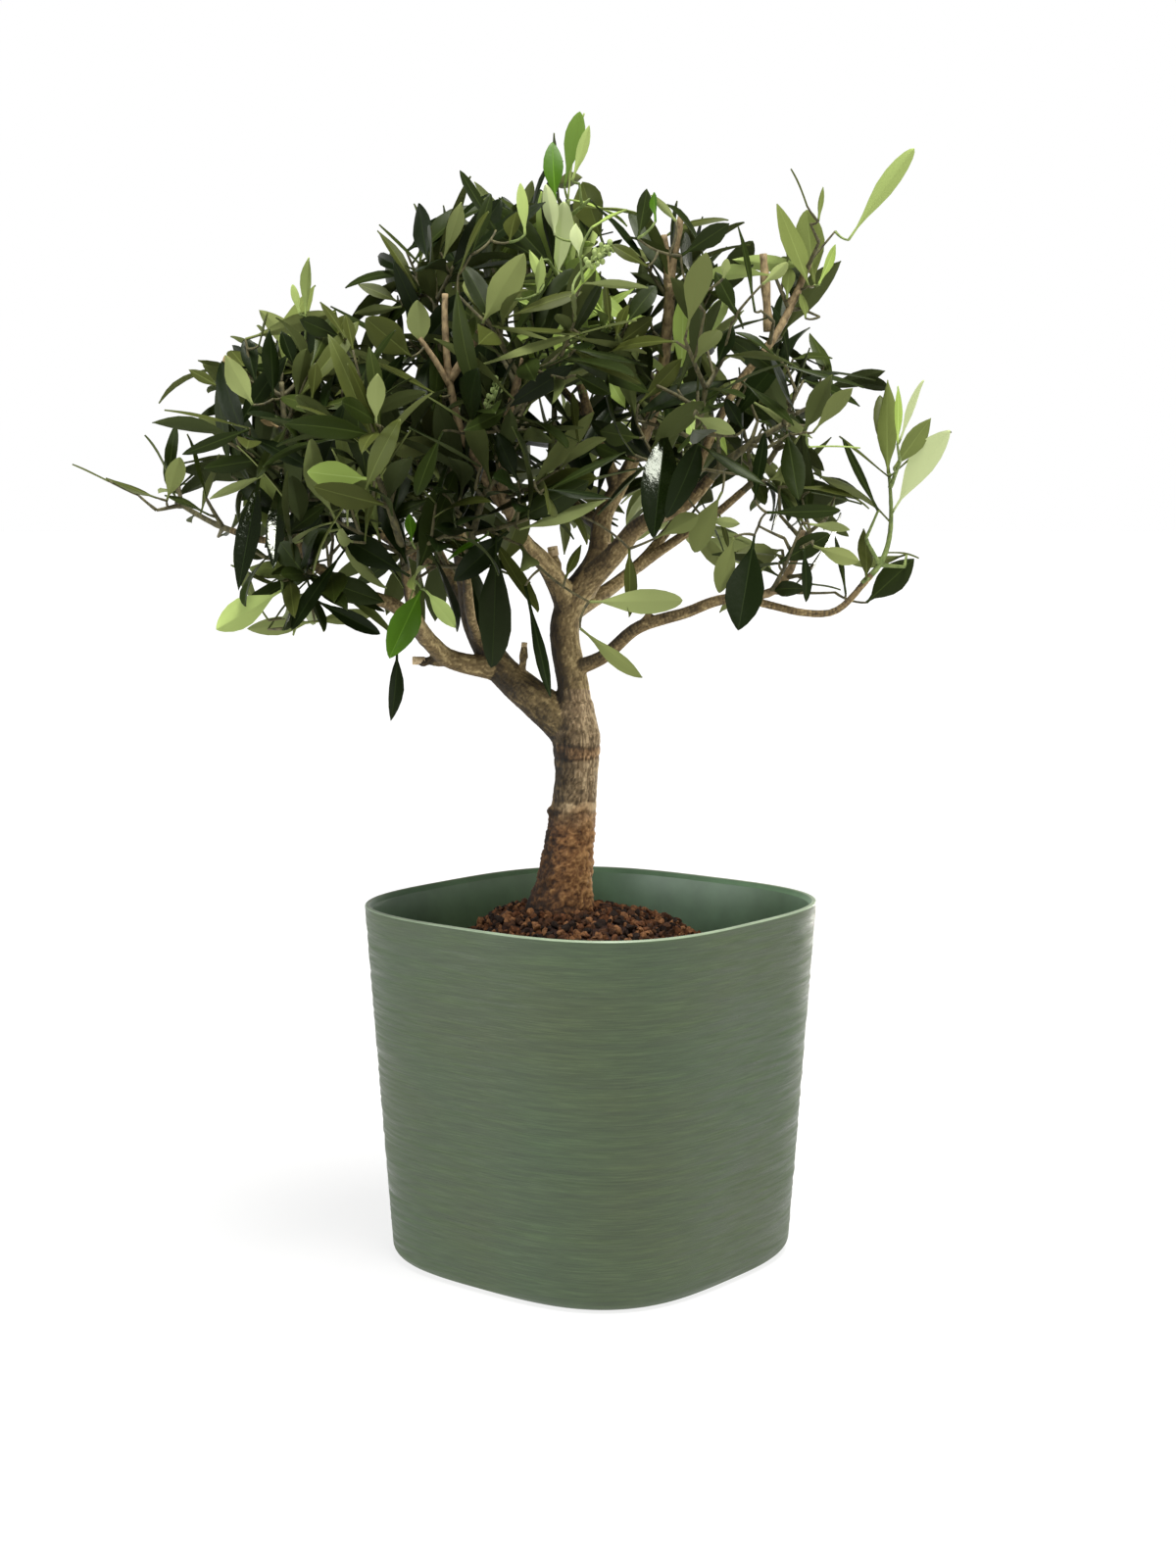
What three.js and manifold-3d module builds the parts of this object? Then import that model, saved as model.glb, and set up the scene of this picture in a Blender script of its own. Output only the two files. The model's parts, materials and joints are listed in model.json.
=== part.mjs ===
// Olive bonsai in a rounded square planter, in millimetres, +Z up.
// The origin is the centre of the pot's underside, and the front faces -Y.
import * as THREE from "three";
import { mergeVertices } from "three/addons/utils/BufferGeometryUtils.js";
import Module from "manifold-3d";

const wasm = await Module();
wasm.setup();

// Gap left between neighbouring pieces
const GAP = 0.3;

// Pot: a tapering planter whose four sides bulge between rounded corners
const POT = {
  height: 185.4,
  topHalf: 103.1,
  baseHalf: 91.3,
  squareness: 3.13,
  turn: THREE.MathUtils.degToRad(51),
  wall: 4,
  floor: 6,
  footRound: 8,
  lipRound: 2,
  ledgeDepth: 7,
  ledgeStep: 1.2,
  segments: 40,
};

// Soil: a mound round the foot of the trunk, falling away to a lower level at the pot wall
const SOIL = {
  seatHeight: 179,
  seatRadius: 30,
  shoulderHeight: 172,
  shoulderRadius: 62,
  edgeHeight: 140,
  edgeInset: 6,
  slopeBulge: 0.65,
};

// Trunk: centre line from under the soil seat up to the fork, and its radius along that line
const TRUNK = {
  path: [[-17.5, 0, 176], [-14.5, 0, 194], [-10.5, 0, 224], [-8, 0, 250], [-8, 0, 270], [-9, 0, 288]],
  radii: [18.5, 14.3, 12.9, 11.7, 10.9, 12.6, 9.5],
  flareLobes: 5,
  flareDepth: 2,
  flareHeight: 18,
  sides: 12,
  rings: 12,
};

// Boughs: points each one passes through from inside its parent to its tip, and its radius at root and tip
const BOUGHS = {
  leader: {
    path: [[-9, 0, 278], [-9.5, 2, 296], [-13, 5, 314], [-14, 6, 326], [-10, 4, 340], [-2, 2, 350]],
    radii: [8, 7.4],
  },
  left: {
    path: [[-9, 0, 274], [-30, 4, 290], [-48, 10, 306], [-60, 10, 328], [-63, 2, 347], [-68, -5, 376]],
    radii: [10.5, 4],
  },
  left_low: {
    path: [[-46, 9, 304], [-72, 0, 310], [-82, -14, 320], [-97, -30, 338], [-126, -45, 348]],
    radii: [5.6, 2.8],
  },
  left_upper: {
    path: [[-112, -39, 345.5], [-132, -44, 356], [-142, -44, 366], [-144, -43, 376]],
    radii: [2.6, 2.2],
  },
  left_tip: {
    path: [[-142, -44, 366], [-154, -42, 370], [-166, -40, 372], [-178, -36, 376]],
    radii: [1.9, 1.7],
  },
  front_left: {
    path: [[-83, -15, 321], [-87, -36, 333], [-89, -52, 345], [-90, -62, 358]],
    radii: [3.6, 2.4],
  },
  front: {
    path: [[-12, 4, 338], [-22, -12, 357], [-34, -28, 371], [-40, -40, 384]],
    radii: [6, 3],
  },
  front_low: {
    path: [[-57, 10, 320], [-60, -8, 330], [-61, -28, 341], [-61, -44, 354]],
    radii: [3.8, 2.6],
  },
  right_up: {
    path: [[-6, 3, 345], [3, 8, 362], [6, 16, 383], [15, 21, 399], [24, 22, 417]],
    radii: [6.6, 3.4],
  },
  right: {
    path: [[-4, 2, 348], [11, -6, 363], [24, -12, 378], [47, -20, 389], [59, -24, 402]],
    radii: [6, 2.8],
  },
  right_low: {
    path: [[-11, 4, 304], [6, -8, 312], [23, -18, 327], [47, -26, 335], [62, -30, 341], [84, -30, 344]],
    radii: [3.8, 2.4],
  },
  right_tip: {
    path: [[74, -30, 342.8], [92, -30, 338], [106, -30, 335], [121, -30, 336], [139, -28, 354]],
    radii: [2, 1.7],
  },
  right_high: {
    path: [[46, -20, 388.5], [54, -17, 410], [64, -16, 432], [74, -15, 450], [84, -14, 462]],
    radii: [2.6, 2],
  },
  front_right: {
    path: [[32, -15, 382], [37, -30, 387], [41, -44, 392], [44, -54, 399]],
    radii: [3.4, 2.4],
  },
  top: {
    path: [[13, 20, 396], [6, 22, 416], [-2, 19, 436], [-6, 16, 450]],
    radii: [3.4, 2.4],
  },
  back_left: {
    path: [[-59, 10, 326], [-68, 30, 340], [-76, 47, 353], [-83, 59, 366]],
    radii: [4.6, 2.6],
  },
  left_back: {
    path: [[-74, 43, 350], [-94, 48, 362], [-110, 47, 372], [-124, 44, 384]],
    radii: [2.8, 2],
  },
  back: {
    path: [[5, 14, 378], [-6, 34, 385], [-12, 50, 392], [-16, 64, 402]],
    radii: [3.8, 2.6],
  },
  back_right: {
    path: [[-13, 5, 332], [8, 28, 344], [26, 48, 358], [40, 62, 374]],
    radii: [4.6, 2.6],
  },
  right_back: {
    path: [[24, 46, 356], [48, 50, 372], [66, 48, 384], [80, 46, 396]],
    radii: [2.8, 2],
  },
  upper_back: {
    path: [[-1, 19.5, 433], [-10, 32, 442], [-18, 42, 452], [-23, 48, 463]],
    radii: [2.2, 1.9],
  },
};
const BOUGH_SIDES = 6;
const RING_SPACING = 18;

// Foliage masses: tip of the stem each grows on, reach of its leaves from that stem, opposite pairs
// of side twigs, length of its leaves, seed of its rule and the points its furthest leaves reach
const FOLIAGE = {
  top: { tip: [-12, 2, 540], reach: 46, pairs: 3, leaf: 42, seed: 4, far: [[-7, 0, 583]] },
  right_high: {
    tip: [108, -6, 508],
    reach: 42,
    pairs: 3,
    leaf: 46,
    seed: 12,
    far: [[156, 0, 565], [114, -5, 548], [94, -8, 540]],
  },
  right_tip: {
    tip: [147, -28, 402],
    reach: 40,
    pairs: 2,
    leaf: 42,
    seed: 5,
    far: [[145, -28, 450], [162, -28, 450], [176, -28, 426], [122, -28, 422], [162, -28, 360]],
  },
  left_tip: {
    tip: [-206, -27, 390],
    reach: 38,
    pairs: 2,
    leaf: 36,
    seed: 29,
    far: [[-246, -25, 402], [-211, -28, 428]],
  },
  upper_right: {
    bough: "right_up",
    tip: [40, 15, 500],
    reach: 56,
    pairs: 4,
    leaf: 48,
    seed: 9,
    far: [[42, 15, 541], [76, 4, 526], [16, 2, 534]],
  },
  upper_left: {
    bough: "left",
    tip: [-78, -14, 500],
    reach: 60,
    pairs: 4,
    leaf: 50,
    seed: 38,
    far: [[-64, -20, 550], [-86, -24, 538], [-108, -16, 522]],
  },
  left: {
    bough: "left_upper",
    tip: [-152, -34, 448],
    reach: 64,
    pairs: 4,
    leaf: 50,
    seed: 16,
    far: [[-146, -20, 508]],
  },
  right: { tip: [98, -34, 430], reach: 50, pairs: 3, leaf: 48, seed: 30, far: [[134, -20, 450]] },
  right_low: { tip: [104, -34, 376], reach: 56, pairs: 4, leaf: 50, seed: 30, far: [[74, -35, 327]] },
  left_low: {
    tip: [-148, -60, 366],
    reach: 56,
    pairs: 3,
    leaf: 50,
    seed: 15,
    far: [[-184, -42, 328], [-146, -52, 325], [-112, -72, 318]],
  },
  front_left: { tip: [-106, -94, 416], reach: 62, pairs: 3, leaf: 50, seed: 3, far: [[-93, -86, 297]] },
  front_low: { tip: [-50, -80, 396], reach: 58, pairs: 3, leaf: 50, seed: 17, far: [[-44, -76, 314]] },
  front: { tip: [-32, -84, 456], reach: 64, pairs: 3, leaf: 50, seed: 38, far: [] },
  front_right: { tip: [54, -84, 448], reach: 62, pairs: 3, leaf: 50, seed: 30, far: [] },
  upper_back: { tip: [-34, 62, 518], reach: 58, pairs: 3, leaf: 48, seed: 23, far: [] },
  back_left: { tip: [-96, 92, 434], reach: 64, pairs: 3, leaf: 50, seed: 33, far: [] },
  back: { tip: [-20, 98, 456], reach: 64, pairs: 3, leaf: 50, seed: 14, far: [] },
  back_right: { tip: [60, 92, 444], reach: 64, pairs: 3, leaf: 50, seed: 34, far: [] },
  left_back: { tip: [-148, 40, 440], reach: 60, pairs: 3, leaf: 48, seed: 20, far: [] },
  right_back: { tip: [108, 46, 440], reach: 58, pairs: 3, leaf: 48, seed: 2, far: [] },
};

// Twigs and leaves common to every mass
const STEM_RADIUS = { root: 2.1, tip: 1.7 };
const STEM_SIDES = 4;
const STEM_RINGS = 4;
const STEM_BARE = 0.15;
const SPINE_STEPS = 20;
const TWIG_RADIUS = { root: 1.9, tip: 1.6 };
const TWIG_SIDES = 3;
const TWIG_SPAN = [0.12, 0.9];
const TWIG_SHARE = [0.45, 0.75];
const TWIG_SHORTENING = [1, 0.75];
const TWIG_OPENING = [1, 1.5];
const TWIG_CLOSING = [1.05, 0.7];
const TWIG_JITTER = [-0.35, 0.35];
const TWIG_LIFT = 0.06;
const TWIG_BEND = 0.55;
const LEAF_NODES = [0.55, 1];
const LEAF_SINK = 0.8;
const LEAF_STAGGER = 1.3;
const LEAF_NECK = 0.25;
const LEAF_THICKNESS = 1.4;
const LEAF_WIDTH_SHARE = [0.34, 0.44];
const LEAF_LENGTH_SHARE = [0.85, 1.14];
const LEAF_OPENING = [0.7, 1.25];
const LEAF_END_CLOSING = 0.75;
const LEAF_SKYWARD = 0.4;
const LEAF_DROOP = [-0.35, 0.6];
const LEAF_WIDEST = 0.46;
const LEAF_RIDGE = 0.3;

const UP = new THREE.Vector3(0, 0, 1);
const vector = (point) => new THREE.Vector3(...point);
const mix = THREE.MathUtils.lerp;

// Seeded random numbers from 0 to 1
function seeded(seed) {
  let state = seed;
  return () => {
    state = (state + 0x6d2b79f5) >>> 0;
    let mixed = Math.imul(state ^ (state >>> 15), state | 1);
    mixed ^= mixed + Math.imul(mixed ^ (mixed >>> 7), mixed | 61);
    return ((mixed ^ (mixed >>> 14)) >>> 0) / 4294967296;
  };
}

// Geometry reduced to shared corners, ready to be reshaped corner by corner
function shared(geometry) {
  geometry.deleteAttribute("normal");
  geometry.deleteAttribute("uv");
  return mergeVertices(geometry, 1e-4);
}

// Closed solid from a geometry with shared corners
function solidOf(geometry) {
  const corners = geometry.index.array;
  const faces = [];
  for (let i = 0; i < corners.length; i += 3) {
    const [a, b, c] = [corners[i], corners[i + 1], corners[i + 2]];
    if (a !== b && b !== c && c !== a) {
      faces.push(a, b, c);
    }
  }
  const vertProperties = Float32Array.from(geometry.attributes.position.array);
  return new wasm.Manifold(new wasm.Mesh({ numProp: 3, vertProperties, triVerts: Uint32Array.from(faces) }));
}

// Largest body of a solid, without loose scraps or sealed hollows
function mainBody(solid) {
  const bodies = solid.decompose();
  return bodies.reduce((best, body) => (body.volume() > best.volume() ? body : best));
}

function meshOf(name, solid, material) {
  const { vertProperties, triVerts } = solid.getMesh();
  const geometry = new THREE.BufferGeometry();
  geometry.setAttribute("position", new THREE.BufferAttribute(Float32Array.from(vertProperties), 3));
  geometry.setIndex(new THREE.BufferAttribute(Uint32Array.from(triVerts), 1));
  const mesh = new THREE.Mesh(geometry, new THREE.MeshStandardMaterial(material));
  mesh.name = name;
  return mesh;
}

// Tapered tube along a curve, with closed ends moved out by the given overrun
function tube(curve, sides, rings, radiusAt, overrun = 0) {
  const geometry = shared(new THREE.CylinderGeometry(1, 1, 1, sides, rings));
  const frames = curve.computeFrenetFrames(rings, false);
  const position = geometry.attributes.position;
  const spot = new THREE.Vector3();
  for (let i = 0; i < position.count; i += 1) {
    spot.fromBufferAttribute(position, i);
    const ring = Math.round((spot.y + 0.5) * rings);
    const along = ring / rings;
    const radius = radiusAt(along, Math.atan2(spot.z, spot.x));
    const { x, z } = spot;
    spot.copy(curve.getPointAt(along));
    spot.addScaledVector(frames.normals[ring], z * radius);
    spot.addScaledVector(frames.binormals[ring], x * radius);
    if (ring === 0 || ring === rings) {
      spot.addScaledVector(frames.tangents[ring], ring === 0 ? -overrun : overrun);
    }
    position.setXYZ(i, spot.x, spot.y, spot.z);
  }
  return solidOf(geometry);
}

// Radius taken from evenly spaced values along a limb
function radiusFrom(radii, along) {
  const place = along * (radii.length - 1);
  const step = Math.min(Math.floor(place), radii.length - 2);
  return mix(radii[step], radii[step + 1], place - step);
}

function curveOf(path) {
  return new THREE.CatmullRomCurve3(path.map(vector), false, "centripetal");
}

// Outward swell of a limb's root lobes at a distance up the limb
function flareAt(limb, rise, angle) {
  if (!limb.flareDepth) {
    return 0;
  }
  return limb.flareDepth * Math.exp(-rise / limb.flareHeight) * Math.cos(limb.flareLobes * angle);
}

// Limb as a solid, grown all round by the given amount
function limbSolid(limb, grow) {
  const curve = curveOf(limb.path);
  const length = curve.getLength();
  const rings = limb.rings ?? Math.max(3, Math.round(length / RING_SPACING));
  const radiusAt = (along, angle) => {
    const swell = flareAt(limb, along * length, angle);
    return radiusFrom(limb.radii, along) + swell + grow;
  };
  return tube(curve, limb.sides ?? BOUGH_SIDES, rings, radiusAt, grow);
}

// Pot section: distance from the axis at an angle, for a half width of one
function squareRadius(angle) {
  const power = POT.squareness;
  const sum = Math.abs(Math.cos(angle)) ** power + Math.abs(Math.sin(angle)) ** power;
  return sum ** (-1 / power);
}

function outerHalf(height) {
  return mix(POT.baseHalf, POT.topHalf, height / POT.height);
}

// Solid turned from a profile about the pot's axis, then squared and shifted by the given rules
function turnedSolid(profile, squareness, shift) {
  const points = profile.map(([radius, height]) => new THREE.Vector2(radius, height));
  const geometry = shared(new THREE.LatheGeometry(points, POT.segments));
  geometry.rotateX(Math.PI / 2);
  const position = geometry.attributes.position;
  for (let i = 0; i < position.count; i += 1) {
    const angle = Math.atan2(position.getY(i), position.getX(i));
    const height = position.getZ(i);
    const scale = mix(1, squareRadius(angle - POT.turn), squareness(height));
    position.setXY(i, position.getX(i) * scale + shift(height), position.getY(i) * scale);
  }
  return solidOf(geometry);
}

function potSolid() {
  const { height, wall, floor, footRound, lipRound, ledgeDepth, ledgeStep } = POT;
  const foot = outerHalf(0);
  const rim = outerHalf(height);
  const rounded = 1 - Math.SQRT1_2;
  const profile = [
    [0, 0],
    [foot - footRound, 0],
    [foot - footRound * rounded, footRound * rounded],
    [outerHalf(footRound), footRound],
    [outerHalf(height / 2), height / 2],
    [outerHalf(height - lipRound), height - lipRound],
    [rim - lipRound * rounded, height - lipRound * rounded],
    [rim - lipRound, height],
    [rim - wall, height],
    [rim - wall - ledgeStep * rounded, height - lipRound],
    [outerHalf(height - ledgeDepth) - wall - ledgeStep, height - ledgeDepth],
    [outerHalf(height - ledgeDepth) - wall, height - ledgeDepth - ledgeStep],
    [outerHalf(SOIL.edgeHeight) - wall, SOIL.edgeHeight],
    [outerHalf(floor) - wall, floor],
    [0, floor],
  ];
  return turnedSolid(profile, () => 1, () => 0);
}

function soilSolid() {
  const { seatHeight, seatRadius, shoulderHeight, shoulderRadius, edgeHeight, edgeInset, slopeBulge } = SOIL;
  const inner = (height) => outerHalf(height) - POT.wall - GAP;
  const base = POT.floor + GAP;
  const profile = [
    [0, base],
    [inner(base), base],
    [inner(edgeHeight), edgeHeight],
    [inner(edgeHeight) - edgeInset, edgeHeight + edgeInset / 3],
    [shoulderRadius, shoulderHeight],
    [mix(shoulderRadius, seatRadius, 0.5), mix(shoulderHeight, seatHeight, slopeBulge)],
    [seatRadius, seatHeight],
    [0, seatHeight],
  ];
  const mound = (height) => THREE.MathUtils.smoothstep(height, edgeHeight + edgeInset, shoulderHeight);
  return turnedSolid(profile, (height) => 1 - mound(height), (height) => TRUNK.path[0][0] * mound(height));
}

// Two directions square to a heading and to each other
function sidesOf(heading) {
  const reference = Math.abs(heading.z) > 0.9 ? new THREE.Vector3(1, 0, 0) : UP;
  const first = new THREE.Vector3().crossVectors(heading, reference).normalize();
  const second = new THREE.Vector3().crossVectors(heading, first);
  return [first, second];
}

// Direction square to a heading, turned about it by an angle
function turned(heading, angle) {
  const [first, second] = sidesOf(heading);
  return first.multiplyScalar(Math.cos(angle)).addScaledVector(second, Math.sin(angle));
}

// Heading opened towards a direction square to it by an angle
function opened(heading, out, angle) {
  return heading.clone().multiplyScalar(Math.cos(angle)).addScaledVector(out, Math.sin(angle));
}

// Leaf of eight faces from its root along a heading, its upper face towards the given direction
function leafSolid(leaf, margin = 0) {
  const geometry = shared(new THREE.OctahedronGeometry(1));
  const position = geometry.attributes.position;
  const across = new THREE.Vector3().crossVectors(leaf.face, leaf.heading);
  const spot = new THREE.Vector3();
  for (let i = 0; i < position.count; i += 1) {
    spot.fromBufferAttribute(position, i);
    const { x, y, z } = spot;
    const run = x > 0.5 ? leaf.length + margin : x < -0.5 ? -LEAF_SINK : 0;
    const share = Math.abs(y) > 0.5 ? LEAF_WIDEST : Math.abs(z) > 0.5 ? LEAF_RIDGE : 0;
    spot.copy(leaf.root);
    spot.addScaledVector(leaf.heading, run + share * leaf.length);
    spot.addScaledVector(across, y * (leaf.width / 2 + margin));
    spot.addScaledVector(leaf.face, z * (LEAF_THICKNESS / 2 + margin));
    position.setXYZ(i, spot.x, spot.y, spot.z);
  }
  return solidOf(geometry);
}

function leafTip(leaf) {
  return leaf.root.clone().addScaledVector(leaf.heading, leaf.length);
}

// Blade of a leaf beyond its neck, as a solid grown by the gap
function bladeSolid(leaf) {
  const root = leaf.root.clone().addScaledVector(leaf.heading, leaf.length * LEAF_NECK);
  return leafSolid({ ...leaf, root, length: leaf.length * (1 - LEAF_NECK) }, GAP);
}

function between(random, [low, high]) {
  return mix(low, high, random());
}

// Stem of a mass: leaves its bough along the bough's own line and bends to the stem tip
function stemCurve(bough, tip) {
  const limb = curveOf(bough.path);
  const heading = limb.getTangentAt(1);
  const root = limb.getPointAt(1).addScaledVector(heading, GAP);
  const bend = root.distanceTo(tip) / 3;
  const leave = root.clone().addScaledVector(heading, bend);
  const arrive = tip.clone().lerp(leave, 0.5);
  return new THREE.CubicBezierCurve3(root, leave, arrive, tip);
}

// Side twig from a point on the stem, rising towards its tip
function twigCurve(root, heading, length) {
  const middle = root.clone().addScaledVector(heading, length * TWIG_BEND);
  const tip = root.clone().addScaledVector(heading, length).addScaledVector(UP, length * TWIG_LIFT);
  return new THREE.QuadraticBezierCurve3(root, middle, tip);
}

// Leaf along a heading, its upper face turned towards the twig's tip and the sky
function leafAlong(random, root, heading, twigHeading, length) {
  const face = twigHeading.clone().addScaledVector(UP, LEAF_SKYWARD);
  face.addScaledVector(heading, -face.dot(heading)).normalize();
  return { root, heading, face, length, width: length * between(random, LEAF_WIDTH_SHARE) };
}

// Leaf growing from a twig at an angle round it
function leafAt(random, root, twigHeading, angle, opening, length) {
  const out = turned(twigHeading, angle);
  const heading = opened(twigHeading, out, opening);
  heading.z -= between(random, LEAF_DROOP);
  const size = length * between(random, LEAF_LENGTH_SHARE);
  return leafAlong(random, root, heading.normalize(), twigHeading, size);
}

// Leaves of one twig: an opposite pair at each node, each pair a quarter turn on
function leavesOf(random, curve, firstTurn, length) {
  const leaves = [];
  LEAF_NODES.forEach((along, node) => {
    const heading = curve.getTangentAt(along);
    const atEnd = along === 1;
    [0, 1].forEach((side) => {
      const back = LEAF_STAGGER * (side + (atEnd ? 1 : 0));
      const root = curve.getPointAt(along).addScaledVector(heading, -back);
      const opening = between(random, LEAF_OPENING) * (atEnd ? LEAF_END_CLOSING : 1);
      const angle = firstTurn + node * (Math.PI / 2) + side * Math.PI;
      leaves.push(leafAt(random, root, heading, angle, opening, length));
    });
  });
  return leaves;
}

// Point of a stem nearest to a place, a little up from the stem's root
function nearestOn(curve, place) {
  const spots = curve.getPoints(SPINE_STEPS).slice(SPINE_STEPS * STEM_BARE);
  return spots.reduce((best, spot) => (spot.distanceTo(place) < best.distanceTo(place) ? spot : best));
}

// Stem of a mass as a solid, grown all round by the given amount
function stemSolid(stem, grow) {
  const radiusAt = (along) => mix(STEM_RADIUS.root, STEM_RADIUS.tip, along) + grow;
  return tube(stem, STEM_SIDES, STEM_RINGS, radiusAt, grow);
}

// Foliage mass: twigs and leaves that keep to their space and clear of everything already there
function foliageSolid(mass, stem, obstacles) {
  const random = seeded(mass.seed);
  const spine = stem.getPoints(SPINE_STEPS);
  const inSpace = (point) => spine.some((spot) => spot.distanceTo(point) < mass.reach);
  const isFree = (solid) => obstacles.every((obstacle) => solid.intersect(obstacle).isEmpty());
  let solid = stemSolid(stem, 0);
  const addLeaf = (leaf) => {
    if (isFree(leafSolid(leaf, GAP)) && solid.intersect(bladeSolid(leaf)).isEmpty()) {
      solid = solid.add(leafSolid(leaf));
    }
  };
  const addTwig = (twig) => {
    const radiusAt = (along) => mix(TWIG_RADIUS.root, TWIG_RADIUS.tip, along);
    const clear = isFree(tube(twig, TWIG_SIDES, 1, (along) => radiusAt(along) + GAP));
    if (clear) {
      solid = solid.add(tube(twig, TWIG_SIDES, 1, radiusAt));
    }
    return clear;
  };
  mass.far.forEach((point) => {
    const target = vector(point);
    const root = nearestOn(stem, target);
    const heading = target.clone().sub(root).normalize();
    const end = target.clone().addScaledVector(heading, -mass.leaf * LEAF_LENGTH_SHARE[1]);
    const twigLength = end.clone().sub(root).dot(heading);
    const leafRoot = twigLength > 0 ? end : root;
    const leaf = leafAlong(random, leafRoot, heading, UP, target.distanceTo(leafRoot));
    if (twigLength <= 0 || addTwig(twigCurve(root, heading, twigLength + LEAF_STAGGER))) {
      addLeaf(leaf);
    }
  });
  const firstTurn = random() * Math.PI;
  for (let pair = 0; pair < mass.pairs; pair += 1) {
    const along = mix(...TWIG_SPAN, pair / (mass.pairs - 1));
    const root = stem.getPointAt(along);
    const heading = stem.getTangentAt(along);
    const turn = firstTurn + pair * (Math.PI / 2) + between(random, TWIG_JITTER);
    [0, Math.PI].forEach((side) => {
      const opening = between(random, TWIG_OPENING) * mix(...TWIG_CLOSING, along);
      const out = turned(heading, turn + side);
      const aim = opened(heading, out, opening);
      const length = mass.reach * between(random, TWIG_SHARE) * mix(...TWIG_SHORTENING, along);
      const twig = twigCurve(root, aim.addScaledVector(UP, TWIG_LIFT).normalize(), length);
      const leaves = leavesOf(random, twig, random() * Math.PI, mass.leaf);
      if (addTwig(twig)) {
        leaves.filter((leaf) => inSpace(leafTip(leaf))).forEach(addLeaf);
      }
    });
  }
  leavesOf(random, stem, firstTurn, mass.leaf).forEach(addLeaf);
  return mainBody(solid);
}

// Materials
const SAGE_PLASTIC = { color: 0x6f8a72, roughness: 0.55, metalness: 0 };
const BARK = { color: 0x8d7c66, roughness: 0.9, metalness: 0 };
const LEAF = { color: 0x4c5c34, roughness: 0.6, metalness: 0 };
const EARTH = { color: 0x6b3f2e, roughness: 0.95, metalness: 0 };

const part = new THREE.Group();
part.name = "olive_bonsai";
part.add(meshOf("pot", potSolid(), SAGE_PLASTIC));
part.add(meshOf("soil", soilSolid(), EARTH));

// Trunk, cut flat just clear of the soil seat, then each bough cut clear of the limbs before it
const trunk = limbSolid(TRUNK, 0).trimByPlane([0, 0, 1], SOIL.seatHeight + GAP);
part.add(meshOf("trunk", trunk, BARK));
const limbSpaces = [limbSolid(TRUNK, GAP)];
Object.entries(BOUGHS).forEach(([name, bough]) => {
  const cut = limbSpaces.reduce((solid, space) => solid.subtract(space), limbSolid(bough, 0));
  part.add(meshOf(`bough_${name}`, mainBody(cut), BARK));
  limbSpaces.push(limbSolid(bough, GAP));
});

// Foliage masses, each clear of every limb, of the other stems and of the masses before it
const stems = new Map();
Object.entries(FOLIAGE).forEach(([name, mass]) => {
  stems.set(name, stemCurve(BOUGHS[mass.bough ?? name], vector(mass.tip)));
});
const grown = [];
Object.entries(FOLIAGE).forEach(([name, mass]) => {
  const others = [...stems].filter(([other]) => other !== name);
  const stemSpaces = others.map(([, stem]) => stemSolid(stem, GAP));
  const solid = foliageSolid(mass, stems.get(name), [...limbSpaces, ...stemSpaces, ...grown]);
  part.add(meshOf(`foliage_${name}`, solid, LEAF));
  grown.push(solid);
});

export default part;
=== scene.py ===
import json
import math
from dataclasses import dataclass
from itertools import combinations

import bpy
import numpy as np
from mathutils.bvhtree import BVHTree
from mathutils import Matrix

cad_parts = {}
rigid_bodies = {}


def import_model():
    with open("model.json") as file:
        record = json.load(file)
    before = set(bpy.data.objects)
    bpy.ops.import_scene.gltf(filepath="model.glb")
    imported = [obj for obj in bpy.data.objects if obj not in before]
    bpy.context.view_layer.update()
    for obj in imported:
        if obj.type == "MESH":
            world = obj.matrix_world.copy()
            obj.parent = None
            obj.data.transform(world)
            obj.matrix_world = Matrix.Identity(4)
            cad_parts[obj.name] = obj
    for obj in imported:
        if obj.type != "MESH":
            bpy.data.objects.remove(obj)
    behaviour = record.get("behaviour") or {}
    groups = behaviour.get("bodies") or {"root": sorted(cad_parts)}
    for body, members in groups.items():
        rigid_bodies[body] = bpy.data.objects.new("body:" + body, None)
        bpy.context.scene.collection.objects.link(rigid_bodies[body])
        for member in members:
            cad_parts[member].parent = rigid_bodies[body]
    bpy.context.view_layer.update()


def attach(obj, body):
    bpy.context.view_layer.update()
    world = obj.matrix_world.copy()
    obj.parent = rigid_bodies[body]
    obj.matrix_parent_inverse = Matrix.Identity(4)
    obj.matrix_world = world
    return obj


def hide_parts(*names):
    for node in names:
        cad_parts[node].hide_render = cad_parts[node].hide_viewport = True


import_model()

# Lengths below are in millimetres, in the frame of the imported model, apart from looks and the studio
MM = 0.001
GAP = 0.3
UP = np.array([0.0, 0.0, 1.0])

# Camera: the photograph's frame in pixels, its focal length in those pixels, eye point and downward tilt
PHOTO = (1200, 1600)
FOCAL = 2419.1
EYE = np.array([-1.965, -1209.55, 389.45])
TILT = math.radians(6.77)
SENSOR = 36

# Random numbers, and the fineness of curves
MASK = 0xFFFFFFFF
SLOPES = np.array([spot for spot in np.ndindex(3, 3, 3) if spot.count(1) == 1]) - 1
CURVE_POINTS = 201
SPAN_POINTS = 41
HEADING_STEP = 0.005
STEEP = 0.9

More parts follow.
